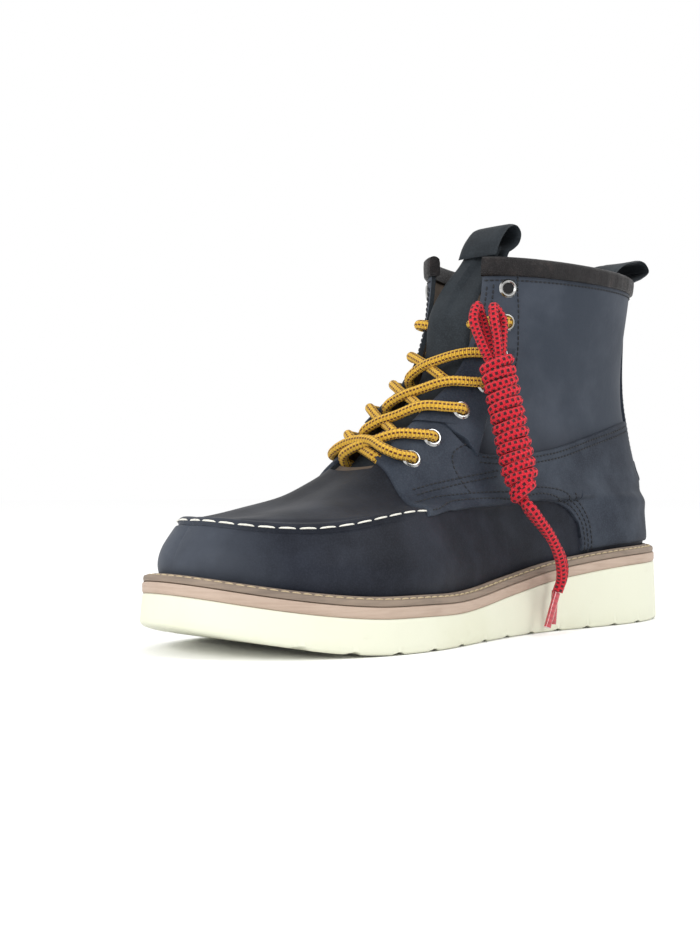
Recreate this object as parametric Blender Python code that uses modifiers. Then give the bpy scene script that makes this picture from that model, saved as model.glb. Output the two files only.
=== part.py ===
"""A wedge sole work boot: the left boot of a pair, empty, standing on its sole.

Frame: +Y points to the toe, -X to the outer (lateral) side, +Z up. The origin is the middle of the
sole's box, on the floor. While the boot is worked out, Y counts from the back of the heel and X from
the middle of the heel; shift() brings it to the origin at the end.
"""

import math

import bmesh
import bpy
import numpy as np
from mathutils import Matrix, Vector

MM = 0.001

# The last and the sole
LENGTH = 305 * MM
BALL_WIDTH = 117 * MM
HEEL_STACK = 31 * MM
TOE_SPRING = 12.5 * MM
MIDSOLE_THICK = 5 * MM
WELT_THICK = 3.2 * MM
WELT_WIDE = 15 * MM
INSOLE_THICK = 4 * MM
CLEAR = 0.3 * MM

# The upper
WALL = 2.2 * MM
COLLAR_HEIGHT = 180 * MM
SHAFT_HALF = 38 * MM
MOC_WALL = 37 * MM
EDGE_MARGIN = 5.6 * MM
RIDGE_HIGH = 1.3 * MM
OVERLAY_THICK = 1.4 * MM
OVERLAY_SEAT = 0.5 * MM
QUARTER_SEAT = 2.8 * MM
THROAT_GAP = 36 * MM
MEDIAL_RISE = 4 * MM
BINDING_THICK = 1.3 * MM
TONGUE_THICK = 2.0 * MM
BACKSTAY_WIDE = 29 * MM
LOOP_WIDE = 25 * MM
LOOP_THICK = 1.8 * MM

# Eyelets and laces
EYELET_HOLE = 5.2 * MM
EYELET_OUTER = 9.2 * MM
EYELET_HIGH = 0.9 * MM
EYELET_SHANK = 6.4 * MM
EYELET_ASIDE = 9.0 * MM
LACE_THICK = 4.8 * MM
SPARE_THICK = 5.0 * MM
HANK_WIDE = 17 * MM
HANK_DEEP = 12 * MM
TIP_THICK = 3.4 * MM

LATERAL = -1
MEDIAL = 1

# The sole's outer edge from heel to toe: along is a share of LENGTH, the rest are shares of BALL_WIDTH.
EDGE = (
    # along, lateral, medial
    (0.000, 0.000, 0.000),
    (0.010, -0.158, 0.158),
    (0.036, -0.255, 0.255),
    (0.085, -0.317, 0.317),
    (0.164, -0.348, 0.339),
    (0.262, -0.343, 0.317),
    (0.354, -0.330, 0.295),
    (0.449, -0.352, 0.321),
    (0.551, -0.411, 0.387),
    (0.666, -0.482, 0.467),
    (0.754, -0.486, 0.484),
    (0.836, -0.436, 0.456),
    (0.911, -0.335, 0.392),
    (0.967, -0.189, 0.282),
    (0.990, -0.079, 0.194),
    (1.000, 0.066, 0.066),
)

# The outsole's thickness, a share of HEEL_STACK, and how much of TOE_SPRING its underside has.
SOLE_SIDE = (
    # along, thick, spring
    (0.000, 1.000, 0.00),
    (0.197, 0.935, 0.00),
    (0.328, 0.806, 0.00),
    (0.459, 0.613, 0.00),
    (0.590, 0.470, 0.00),
    (0.705, 0.480, 0.00),
    (0.780, 0.480, 0.04),
    (0.853, 0.475, 0.22),
    (0.934, 0.450, 0.60),
    (1.000, 0.435, 1.00),
)

# Rings of the upper below the moccasin seam. level is the place on the way up the skin. The insets are
# from the sole's edge, in shares of EDGE_MARGIN, and the rises are over the welt, in shares of MOC_WALL,
# at the heel, waist, ball, toe shoulder and toe.
LOW_RINGS = (
    # level, insets at the five places, rises at the five places
    (0.00, (3.00, 3.00, 3.00, 3.00, 3.00), (0.000, 0.000, 0.000, 0.000, 0.000)),
    (0.06, (1.15, 1.20, 1.15, 1.25, 1.55), (0.000, 0.000, 0.000, 0.000, 0.000)),
    (0.09, (0.85, 1.00, 0.95, 1.05, 1.35), (0.070, 0.070, 0.070, 0.070, 0.070)),
    (0.17, (0.55, 1.00, 0.90, 1.05, 1.75), (0.300, 0.350, 0.430, 0.350, 0.320)),
    (0.25, (0.65, 1.40, 2.25, 2.40, 3.15), (0.540, 0.790, 1.000, 0.740, 0.690)),
)
PLACES = (0.00, 0.41, 0.60, 0.76, 1.00)

# Rings of the upper above that seam, each an oval in plan. back and front are shares of LENGTH, lateral
# and medial of SHAFT_HALF, lean of BALL_WIDTH, the heights of COLLAR_HEIGHT, gap of half THROAT_GAP.
HIGH_RINGS = (
    # level, back, front, lateral, medial, lean, z at back, side, front, gap
    (0.33, 0.0150, 0.850, 1.060, 1.060, 0.060, 0.385, 0.362, 0.320, 0.78),
    (0.40, 0.0200, 0.748, 0.950, 0.940, 0.045, 0.430, 0.406, 0.362, 0.78),
    (0.46, 0.0280, 0.670, 0.875, 0.865, 0.025, 0.480, 0.468, 0.430, 0.78),
    (0.51, 0.0370, 0.630, 0.830, 0.825, 0.015, 0.535, 0.525, 0.492, 0.78),
    (0.57, 0.0450, 0.580, 0.800, 0.800, 0.008, 0.605, 0.600, 0.565, 0.82),
    (0.65, 0.0510, 0.522, 0.800, 0.800, 0.000, 0.690, 0.682, 0.650, 0.86),
    (0.78, 0.0520, 0.472, 0.850, 0.850, 0.000, 0.805, 0.800, 0.780, 0.92),
    (0.90, 0.0490, 0.450, 0.940, 0.940, 0.000, 0.910, 0.908, 0.900, 0.96),
    (1.00, 0.0460, 0.446, 1.000, 1.000, 0.000, 0.985, 0.988, 0.995, 1.00),
)
BACK_ROUND = 0.72
FRONT_ROUND = 0.60


def through(stations, values, at):
    """A smooth curve through a table's columns, read at the places in at."""
    x = np.asarray(stations, float)
    y = np.asarray(values, float)
    at = np.clip(np.asarray(at, float), x[0], x[-1])
    step = np.diff(x).reshape((-1,) + (1,) * (y.ndim - 1))
    slope = np.diff(y, axis=0) / step
    inner = (slope[:-1] * step[1:] + slope[1:] * step[:-1]) / (step[:-1] + step[1:])
    tangent = np.concatenate([slope[:1], inner, slope[-1:]])
    i = np.clip(np.searchsorted(x, at, side="right") - 1, 0, len(x) - 2)
    wide = (at.shape) + (1,) * (y.ndim - 1)
    t = ((at - x[i]) / (x[i + 1] - x[i])).reshape(wide)
    h = (x[i + 1] - x[i]).reshape(wide)
    return (
        (2 * t**3 - 3 * t**2 + 1) * y[i]
        + (t**3 - 2 * t**2 + t) * h * tangent[i]
        + (3 * t**2 - 2 * t**3) * y[i + 1]
        + (t**3 - t**2) * h * tangent[i + 1]
    )


def around_of(along):
    """Where a share of the length is on the way from heel (0) to toe (1) round one side."""
    return np.arccos(1 - 2 * np.asarray(along, float)) / math.pi


def edge(around, side, inset=0.0):
    """Points (x, y) of the sole's edge round one side, drawn in by inset."""
    table = np.array(EDGE)
    column = table[:, 1] if side == LATERAL else table[:, 2]
    places = around_of(table[:, 0])

    def plain(s):
        x = through(places, column, s) * BALL_WIDTH
        y = LENGTH * (1 - np.cos(math.pi * np.clip(s, 0, 1))) / 2
        return np.stack([x, y], -1)

    s = np.asarray(around, float)
    small = 0.004
    ahead = plain(np.clip(s + small, 0, 1)) - plain(np.clip(s - small, 0, 1))
    ahead /= np.linalg.norm(ahead, axis=-1, keepdims=True)
    inward = np.stack([ahead[..., 1], -ahead[..., 0]], -1) * -side
    inward[s <= 0] = (0, 1)
    inward[s >= 1] = (0, -1)
    return plain(s) + inward * np.asarray(inset)[..., None]


def underside(y):
    """Height of the outsole's underside."""
    table = np.array(SOLE_SIDE)
    return TOE_SPRING * np.maximum(through(table[:, 0], table[:, 2], y / LENGTH), 0)


def sole_top(y):
    """Height of the outsole's upper face."""
    table = np.array(SOLE_SIDE)
    return underside(y) + HEEL_STACK * through(table[:, 0], table[:, 1], y / LENGTH)


def welt_top(y):
    return sole_top(y) + MIDSOLE_THICK + WELT_THICK


def low_ring(row, s, side):
    """Points of a ring under the moccasin seam."""
    level, insets, rises = row
    xy = edge(s, side, through(PLACES, insets, s) * EDGE_MARGIN)
    rise = through(PLACES, rises, s) * MOC_WALL
    return np.concatenate([xy, (welt_top(xy[:, 1]) + CLEAR + rise)[:, None]], axis=1)


def high_ring(row, s, side):
    """Points of an oval ring over the moccasin seam."""
    level, back, front, lateral, medial, lean, z_back, z_side, z_front, gap = row
    phi = math.pi * s
    half = SHAFT_HALF * (lateral if side == LATERAL else medial)
    blunt = BACK_ROUND + (FRONT_ROUND - BACK_ROUND) * (1 - np.cos(phi)) / 2
    middle = LENGTH * (back + front) / 2
    reach = LENGTH * (front - back) / 2
    x = side * half * np.clip(np.sin(phi), 0, 1) ** blunt
    x = x + lean * BALL_WIDTH * (1 - np.cos(phi)) / 2
    y = middle - reach * np.cos(phi)
    z = COLLAR_HEIGHT * through((0, 0.5, 1), (z_back, z_side, z_front), s)
    if side == MEDIAL:
        z = z + MEDIAL_RISE * max(0.0, level - 0.65) / 0.35 * (1 - np.cos(phi)) / 2
    return np.stack([x, y, z], -1)


def skin(levels, s, side):
    """Points of the upper's outer face: an array of levels by places round one side, from back to front.

    Behind the ball the wall runs smoothly through the seam's level. In front of it the wall and the plug
    meet in a corner, the moccasin seam.
    """
    s = np.asarray(s, float)
    low = np.array([low_ring(row, s, side) for row in LOW_RINGS])
    high = np.array([high_ring(row, s, side) for row in HIGH_RINGS])
    at_low = [row[0] for row in LOW_RINGS]
    at_high = [row[0] for row in HIGH_RINGS]
    seam = at_low[-1]
    levels = np.asarray(levels, float)
    smooth = through(at_low + at_high, np.concatenate([low, high]), levels)
    below = through(at_low, low, levels)
    above = through([seam] + at_high, np.concatenate([low[-1:], high]), levels)
    corner = np.where((levels <= seam)[:, None, None], below, above)
    share = np.clip((s - 0.46) / 0.12, 0, 1)
    share = (share * share * (3 - 2 * share))[None, :, None]
    return smooth + (corner - smooth) * share


def place(level, s, side, out=0.0):
    """Points of the skin at one level, set off by out along its normals."""
    s = np.asarray(s, float)
    here = skin([level], s, side)[0]
    small = 0.004
    up = skin([min(level + small, 1)], s, side)[0] - skin([max(level - small, 0)], s, side)[0]
    ahead = skin([level], np.clip(s + small, 0, 1), side)[0]
    behind = skin([level], np.clip(s - small, 0, 1), side)[0]
    normal = np.cross(ahead - behind, up) * side
    normal /= np.linalg.norm(normal, axis=-1, keepdims=True)
    normal[s <= 0] *= (0, 1, 1)
    normal[s >= 1] *= (0, 1, 1)
    return here + normal * np.asarray(out, float).reshape(-1, 1)


def turn_of_width(level, side, wide, front=True):
    """Where round one side the skin stands wide from the middle plane, near the front or the back."""
    s = np.linspace(0.5, 1, 200) if front else np.linspace(0.0, 0.5, 200)
    points = skin([level], s, side)[0]
    middle = points[-1, 0] if front else points[0, 0]
    away = np.abs(points[:, 0] - middle)
    order = np.argsort(away)
    return float(np.interp(wide, away[order], s[order]))


def half_gap(level, side):
    """Half the width of the throat at a level; the medial facing closes in a little at the collar."""
    shares = GAP_SHARES if side == LATERAL else GAP_SHARES_MEDIAL
    return THROAT_GAP / 2 * float(through(GAP_LEVELS, shares, level))


def throat_turn(level, side):
    """Where round one side the throat's edge stands."""
    return turn_of_width(level, side, half_gap(level, side))


# The throat's half width at each level of the skin, a share of half THROAT_GAP
GAP_LEVELS = tuple(row[0] for row in HIGH_RINGS)
GAP_SHARES = tuple(row[9] for row in HIGH_RINGS)
GAP_SHARES_MEDIAL = GAP_SHARES[:-2] + (0.88, 0.80)

THROAT_LEVEL = 0.46
SIDE_COLUMNS = 20
PLUG_COLUMNS = 3
SOLE_COLUMNS = 30
UPPER_LEVELS = (
    (0.00, 0.06, 0.09, 0.13, 0.17, 0.21, 0.238)
    + (0.25, 0.262, 0.295, 0.33, 0.40, THROAT_LEVEL)
    + (0.51, 0.57, 0.65, 0.72, 0.81, 0.90, 1.00)
)

# Eyelets from the collar down: the level of each on the skin
EYELET_LEVELS = (0.920, 0.822, 0.728, 0.640, 0.572, 0.515, 0.470)

# The tongue from its root under the plug to its top. level is the skin's, under is how far its face lies
# below that skin in shares of WALL, half its half width in shares of THROAT_GAP, and the moves are shares
# of THROAT_GAP.
TONGUE = (
    # level, under, half, move x, move y, move z
    (0.43, 2.3, 0.42, 0.00, 0.00, 0.00),
    (0.48, 2.8, 0.60, 0.00, 0.00, 0.00),
    (0.53, 2.8, 0.64, 0.00, 0.00, 0.00),
    (0.60, 2.8, 0.64, 0.00, 0.00, 0.00),
    (0.68, 2.6, 0.60, 0.00, 0.00, 0.00),
    (0.76, 1.2, 0.45, 0.00, 0.00, 0.00),
    (0.84, -0.5, 0.40, -0.02, 0.00, 0.00),
    (0.92, 0.9, 0.38, -0.05, -0.04, 0.00),
    (1.00, 4.0, 0.34, -0.12, -0.10, 0.00),
    (1.00, 5.2, 0.33, -0.18, -0.16, 0.30),
)

# The pull loop at the heel, in the middle plane: back from the skin's back at the collar and up from
# COLLAR_HEIGHT, in shares of LOOP_WIDE.
HEEL_LOOP = (
    # back, up
    (0.085, -0.620),
    (0.110, -0.240),
    (0.200, -0.040),
    (0.500, 0.140),
    (0.840, 0.280),
    (1.000, 0.390),
    (0.900, 0.510),
    (0.480, 0.490),
    (0.100, 0.370),
    (-0.130, 0.170),
    (-0.200, -0.040),
    (-0.215, -0.500),
)

# The pull loop on the tongue: rear and up from the top of the tongue's face, along the tongue's own lean,
# in shares of LOOP_WIDE.
TONGUE_LOOP = (
    # rear, up
    (-0.120, -0.330),
    (-0.120, -0.050),
    (-0.070, 0.180),
    (0.020, 0.380),
    (0.170, 0.480),
    (0.290, 0.430),
    (0.320, 0.260),
    (0.240, 0.080),
    (0.140, -0.050),
    (0.125, -0.300),
)

# The lace quarter's outline from the side: along from the heel and up from the floor, in shares of LENGTH
# and COLLAR_HEIGHT. It starts at the collar end of its front edge and goes down, back and up.
QUARTER = (
    # along, up
    (0.636, 0.560),
    (0.650, 0.455),
    (0.654, 0.370),
    (0.648, 0.317),
    (0.489, 0.343),
    (0.361, 0.357),
    (0.302, 0.333),
    (0.275, 0.297),
    (0.266, 0.250),
    (0.266, 0.150),
    (0.010, 0.150),
    (0.010, 0.595),
    (0.066, 0.585),
    (0.334, 0.489),
    (0.505, 0.464),
    (0.551, 0.548),
    (0.600, 0.600),
)

# How the spare lace's two ends fall from the hank: points in millimetres from the middle of the heel
SPARE_END_A = (
    (-47.0, 136.2, 62.6),
    (-47.1, 135.8, 60.0),
    (-47.1, 132.5, 56.0),
    (-47.6, 127.5, 50.5),
    (-48.0, 122.0, 44.0),
    (-47.6, 117.0, 38.0),
    (-46.6, 113.5, 32.0),
    (-45.6, 112.0, 26.0),
    (-45.0, 112.0, 21.0),
)
SPARE_END_B = (
    (-51.6, 138.8, 62.6),
    (-51.9, 138.2, 60.0),
    (-53.2, 134.8, 55.5),
    (-54.2, 129.5, 49.5),
    (-54.3, 123.5, 42.0),
    (-53.0, 118.0, 33.0),
    (-51.5, 116.0, 26.0),
    (-50.5, 117.5, 20.5),
)
SPARE_TIP_A = ((-44.8, 112.2, 20.5), (-44.6, 114.0, 4.5))
SPARE_TIP_B = ((-50.3, 117.8, 20.0), (-49.5, 124.0, 4.0))
HANK_TOP = (-31.5, 147.1, 154.0)
HANK_BOTTOM = (-49.7, 139.7, 63.0)

# How far forward the form that the quarters are cut from reaches, a share of LENGTH
QUARTER_FRONT = 0.675


def material(name, colour, roughness, metallic=0.0):
    made = bpy.data.materials.new(name)
    made.use_nodes = True
    shader = made.node_tree.nodes["Principled BSDF"]
    shader.inputs["Base Color"].default_value = (*colour, 1)
    shader.inputs["Roughness"].default_value = roughness
    shader.inputs["Metallic"].default_value = metallic
    return made


def new_object(name, mesh, finish, home="wedge_sole_work_boot"):
    """Puts a mesh in a collection as an object, smooth with sharp edges kept."""
    thing = bpy.data.objects.new(name, mesh)
    bpy.data.collections[home].objects.link(thing)
    if finish:
        mesh.materials.append(finish)
    if home == "cutters":
        thing.hide_render = True
        thing.display_type = "WIRE"
    return thing


def mesh_of(name, points, faces):
    """A mesh from points and faces, with every normal made to agree."""
    frame = bmesh.new()
    corners = [frame.verts.new(Vector(p)) for p in points]
    for face in faces:
        frame.faces.new([corners[i] for i in face])
    bmesh.ops.remove_doubles(frame, verts=frame.verts, dist=0.01 * MM)
    bmesh.ops.recalc_face_normals(frame, faces=frame.faces)
    mesh = bpy.data.meshes.new(name)
    frame.to_mesh(mesh)
    frame.free()
    mesh.shade_smooth()
    mesh.set_sharp_from_angle(angle=math.radians(40))
    return mesh


def grid_faces(rows, columns, closed=False):
    """The faces of a grid of points, rows by columns; closed joins the last column to the first."""
    wide = columns if closed else columns - 1
    return [
        (r * columns + c, r * columns + (c + 1) % columns, (r + 1) * columns + (c + 1) % columns,
         (r + 1) * columns + c)
        for r in range(rows - 1)
        for c in range(wide)
    ]


def face_out(mesh, outward):
    """Turns an open sheet's faces so that the first one looks along outward."""
    if mesh.polygons[0].normal.dot(Vector(outward)) < 0:
        mesh.flip_normals()


def sheet(name, grid, thick, outward, finish):
    """A grid of points made solid; outward is the way that its face looks and that it thickens."""
    rows, columns = len(grid), len(grid[0])
    points = [p for row in grid for p in row]
    mesh = mesh_of(name, points, grid_faces(rows, columns))
    face_out(mesh, outward)
    thing = new_object(name, mesh, finish)
    shell = thing.modifiers.new("thickness", "SOLIDIFY")
    shell.thickness = thick
    shell.offset = 1
    shell.use_even_offset = True
    return thing


def round_ring(inset, height):
    """The points of one closed line round the sole, heel to toe by the lateral side and back."""
    s = np.linspace(0, 1, SOLE_COLUMNS)
    ring = []
    for side, turns in ((LATERAL, s), (MEDIAL, s[-2:0:-1])):
        xy = edge(turns, side, inset)
        ring += [(x, y, height(y)) for x, y in xy]
    return ring


def slab(name, lines, finish):
    """A solid between closed lines round the sole, each an inset and a height, from the lowest up."""
    rings = [round_ring(inset, height) for inset, height in lines]
    size = len(rings[0])
    points = [p for ring in rings for p in ring]
    faces = grid_faces(len(rings), size, closed=True)
    for start in (0, (len(rings) - 1) * size):
        for j in range(SOLE_COLUMNS - 1):
            near, far = start + j, start + (size - j) % size
            near_next, far_next = start + j + 1, start + size - j - 1
            faces.append(tuple(dict.fromkeys((near, near_next, far_next, far))))
    return new_object(name, mesh_of(name, points, faces), finish)


def band(name, lines, finish):
    """A closed strip round the sole whose section is the lines, each an inset and a height."""
    rings = [round_ring(inset, height) for inset, height in lines]
    size = len(rings[0])
    points = [p for ring in rings for p in ring]
    points += rings[0]
    faces = grid_faces(len(rings) + 1, size, closed=True)
    return new_object(name, mesh_of(name, points, faces), finish)


def swept(name, sections, finish):
    """A solid through closed sections, with its two ends filled."""
    size = len(sections[0])
    points = [p for section in sections for p in section]
    faces = grid_faces(len(sections), size, closed=True)
    faces.append(tuple(range(size)))
    faces.append(tuple(range((len(sections) - 1) * size, len(sections) * size)))
    return new_object(name, mesh_of(name, points, faces), finish)


def tube(name, points, thick, finish, sides=2):
    """A tube along points, as a curve with filled ends."""
    curve = bpy.data.curves.new(name, "CURVE")
    curve.dimensions = "3D"
    curve.bevel_depth = thick / 2
    curve.bevel_resolution = sides
    curve.render_resolution_u = 0
    curve.use_fill_caps = True
    line = curve.splines.new("POLY")
    line.points.add(len(points) - 1)
    for spot, point in zip(line.points, points):
        spot.co = (*point, 1)
    return new_object(name, curve, finish) if finish else curve


def smooth_line(points, step):
    """Points about step apart on a smooth curve through the given ones."""
    points = np.array(points, float)
    far = np.concatenate([[0], np.cumsum(np.linalg.norm(np.diff(points, axis=0), axis=1))])
    count = max(2, math.ceil(far[-1] / step) + 1)
    return through(far, points, np.linspace(0, far[-1], count))


def mesh_from(thing):
    """Replaces a curve object by a mesh of its evaluated shape, with its ends welded."""
    graph = bpy.context.evaluated_depsgraph_get()
    mesh = bpy.data.meshes.new_from_object(thing.evaluated_get(graph))
    frame = bmesh.new()
    frame.from_mesh(mesh)
    bmesh.ops.remove_doubles(frame, verts=frame.verts, dist=0.01 * MM)
    frame.to_mesh(mesh)
    frame.free()
    return mesh


def boolean(thing, cutter, operation):
    cut = thing.modifiers.new(operation.lower(), "BOOLEAN")
    cut.operation = operation
    cut.solver = "EXACT"
    cut.object = cutter


def make_sole(finishes):
    """Outsole with its cross grooves, midsole, welt and insole."""
    flare = 0.8 * MM
    outsole = slab(
        "outsole",
        (
            (1.2 * MM, underside),
            (-flare, lambda y: underside(y) + 1.6 * MM),
            (0.0, sole_top),
        ),
        finishes["outsole"],
    )
    groove_wide = 7 * MM
    groove_deep = 1.3 * MM
    pitch = 21 * MM
    radius = (groove_wide**2 / 4 + groove_deep**2) / (2 * groove_deep)
    frame = bmesh.new()
    for number in range(int((LENGTH - pitch) / pitch)):
        y = pitch * (number + 0.9)
        level = underside(y) + groove_deep - radius
        turn = Matrix.Translation((0, y, level)) @ Matrix.Rotation(math.pi / 2, 4, "Y")
        bmesh.ops.create_cone(
            frame,
            cap_ends=True,
            segments=20,
            radius1=radius,
            radius2=radius,
            depth=BALL_WIDTH * 1.5,
            matrix=turn,
        )
    mesh = bpy.data.meshes.new("tread_cutter")
    frame.to_mesh(mesh)
    frame.free()
    boolean(outsole, new_object("tread_cutter", mesh, None, "cutters"), "DIFFERENCE")

    slab(
        "midsole",
        (
            (0.1 * MM, lambda y: sole_top(y) + CLEAR),
            (0.1 * MM, lambda y: sole_top(y) + MIDSOLE_THICK),
        ),
        finishes["midsole"],
    )
    under_welt = MIDSOLE_THICK + CLEAR
    band(
        "welt",
        (
            (0.5 * MM, lambda y: sole_top(y) + under_welt),
            (0.5 * MM, welt_top),
            (WELT_WIDE, welt_top),
            (WELT_WIDE, lambda y: sole_top(y) + under_welt),
        ),
        finishes["welt"],
    )
    seat = 2 * CLEAR + WALL
    inset = 2.0 * EDGE_MARGIN
    slab(
        "insole",
        (
            (inset, lambda y: welt_top(y) + seat),
            (inset, lambda y: welt_top(y) + seat + INSOLE_THICK),
        ),
        finishes["insole"],
    )


def ridge(level, s):
    """How far the moccasin seam's ridge stands out of the skin."""
    near = max(0.0, 1 - abs(level - 0.245) / 0.014)
    share = np.clip((np.asarray(s) - 0.64) / 0.03, 0, 1)
    return RIDGE_HIGH * near * share


def columns_at(level, side):
    """The places of the upper's columns round one side, with one at the throat's edge."""
    turn = throat_turn(max(level, THROAT_LEVEL), side)
    return np.concatenate(
        [np.linspace(0, turn, SIDE_COLUMNS + 1), np.linspace(turn, 1, PLUG_COLUMNS + 1)[1:]]
    )


def make_upper(finishes):
    """One wall from the turned-in margin to the collar, open at the throat, the collar and underneath."""
    half = SIDE_COLUMNS + PLUG_COLUMNS
    points = []
    for level in UPPER_LEVELS:
        sides = []
        for side in (MEDIAL, LATERAL):
            s = columns_at(level, side)
            sides.append(place(level, s, side, ridge(level, s)))
        points += [tuple(p) for p in sides[0][::-1]] + [tuple(p) for p in sides[1][1:]]
    wide = 2 * half + 1
    faces = []
    for r in range(len(UPPER_LEVELS) - 1):
        for c in range(wide - 1):
            in_throat = c < PLUG_COLUMNS or c >= wide - 1 - PLUG_COLUMNS
            if in_throat and UPPER_LEVELS[r] >= THROAT_LEVEL:
                continue
            a = r * wide + c
            faces.append((a, a + 1, a + 1 + wide, a + wide))
    mesh = mesh_of("upper", points, faces)
    high = max(mesh.polygons, key=lambda f: f.center.z)
    if high.normal.dot(Vector((high.center.x, high.center.y - 75 * MM, 0))) < 0:
        mesh.flip_normals()
    upper = new_object("upper", mesh, finishes["upper"])
    shell = upper.modifiers.new("wall", "SOLIDIFY")
    shell.thickness = WALL
    shell.offset = -1
    shell.use_even_offset = True
    return upper


def eyelet_places(side):
    """Where the eyelets of one side sit, on the skin, with the way that each looks."""
    found = []
    for level in EYELET_LEVELS:
        turn = turn_of_width(level, side, half_gap(level, side) + EYELET_ASIDE)
        low = place(level, [turn], side)[0]
        high = place(level, [turn], side, [MM])[0]
        found.append((Vector(low), Vector(high - low).normalized(), level))
    return found


def on_skin(spot, normal, out):
    """The matrix of a piece whose own +Z looks along the normal."""
    turn = normal.to_track_quat("Z", "Y").to_matrix().to_4x4()
    return Matrix.Translation(spot + normal * out) @ turn


def make_eyelets(upper, quarters, finishes):
    """Two rows of metal eyelets, each through its hole in the leather."""
    profile = (
        (EYELET_HOLE / 2, -WALL),
        (EYELET_SHANK / 2, -WALL),
        (EYELET_SHANK / 2, 2 * CLEAR),
        (EYELET_OUTER / 2, 2 * CLEAR),
        (EYELET_HOLE / 2 + 0.8 * MM, 2 * CLEAR + EYELET_HIGH),
    )
    frame = bmesh.new()
    corners = [frame.verts.new((r, 0, z)) for r, z in profile]
    for a, b in zip(corners, corners[1:] + corners[:1]):
        frame.edges.new((a, b))
    ring = bpy.data.meshes.new("eyelet")
    bmesh.ops.spin(
        frame,
        geom=frame.verts[:] + frame.edges[:],
        cent=(0, 0, 0),
        axis=(0, 0, 1),
        angle=2 * math.pi,
        steps=10,
        use_merge=True,
    )
    bmesh.ops.remove_doubles(frame, verts=frame.verts, dist=0.01 * MM)
    bmesh.ops.recalc_face_normals(frame, faces=frame.faces)
    frame.to_mesh(ring)
    frame.free()
    ring.shade_smooth()
    ring.set_sharp_from_angle(angle=math.radians(40))
    ring.materials.append(finishes["eyelet"])

    holes = bmesh.new()
    lifted = OVERLAY_THICK + QUARTER_SEAT + CLEAR
    for side, word in ((LATERAL, "lateral"), (MEDIAL, "medial")):
        for number, (spot, normal, level) in enumerate(eyelet_places(side)):
            out = lifted if number >= len(EYELET_LEVELS) - 2 else 0.0
            thing = new_object(f"eyelet_{word}_{number + 1}", ring, None)
            thing.matrix_world = on_skin(spot, normal, out)
            bmesh.ops.create_cone(
                holes,
                cap_ends=True,
                segments=12,
                radius1=EYELET_SHANK / 2 + CLEAR,
                radius2=EYELET_SHANK / 2 + CLEAR,
                depth=12 * MM,
                matrix=on_skin(spot, normal, 0.0),
            )
    mesh = bpy.data.meshes.new("eyelet_holes")
    holes.to_mesh(mesh)
    holes.free()
    cutter = new_object("eyelet_holes", mesh, None, "cutters")
    for thing in (upper, *quarters):
        boolean(thing, cutter, "DIFFERENCE")


def make_tongue(finishes):
    """The tongue: it follows the closed form of the instep under the facings and leans out at its top."""
    grid = []
    for level, under, half, move_x, move_y, move_z in TONGUE:
        row = []
        for share in np.linspace(-1, 1, 7):
            side = LATERAL if share <= 0 else MEDIAL
            turn = turn_of_width(level, side, abs(share) * half * THROAT_GAP)
            spot = place(level, [turn], side, [-under * WALL])[0]
            row.append(spot + THROAT_GAP * np.array((move_x, move_y, move_z)))
        grid.append(row)
    return sheet("tongue", grid, TONGUE_THICK, (0, -1, -0.6), finishes["tongue"]), grid


def make_binding(finishes):
    """The collar's binding: a strip folded over the top edge from one side of the throat to the other."""
    outer = CLEAR + BINDING_THICK
    inner = -WALL - CLEAR
    sections = []
    for side, order in ((MEDIAL, -1), (LATERAL, 1)):
        turns = np.linspace(0, throat_turn(1.0, side), SIDE_COLUMNS + 1)
        rows = (
            (0.958, outer, 0.0),
            (1.000, outer, 0.2 * MM),
            (1.000, CLEAR, 2.0 * MM),
            (1.000, inner, 2.0 * MM),
            (1.000, inner - BINDING_THICK, 0.2 * MM),
            (0.962, inner - BINDING_THICK, 0.0),
            (0.962, inner, 0.0),
            (1.000, inner, CLEAR),
            (1.000, CLEAR, CLEAR),
            (0.958, CLEAR, 0.0),
        )
        lines = [place(level, turns, side, out) + (0, 0, up) for level, out, up in rows]
        made = [[line[c] for line in lines] for c in range(len(turns))][::order]
        sections += made[1:] if sections else made
    swept("collar_binding", sections, finishes["binding"])


def make_backstay(finishes):
    """The strip over the back seam."""
    grid = []
    for level in (0.10, 0.17, 0.25, 0.33, 0.40, 0.46, 0.51, 0.57, 0.65, 0.72, 0.78, 0.84, 0.90, 0.935):
        row = []
        for share in np.linspace(-1, 1, 9):
            side = LATERAL if share <= 0 else MEDIAL
            turn = turn_of_width(level, side, abs(share) * BACKSTAY_WIDE / 2, front=False)
            row.append(place(level, [turn], side, [OVERLAY_SEAT])[0])
        grid.append(row)
    sheet("backstay", grid, OVERLAY_THICK, (0, -1, 0), finishes["upper"])


def loop_grid(path, middle, bend):
    """Rows of points across a strap that follows path; bend is the radius that it is curved round."""
    across = np.linspace(-LOOP_WIDE / 2, LOOP_WIDE / 2, 5)
    return [[(middle + x, y + x * x / (2 * bend), z) for x in across] for y, z in path]


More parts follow.
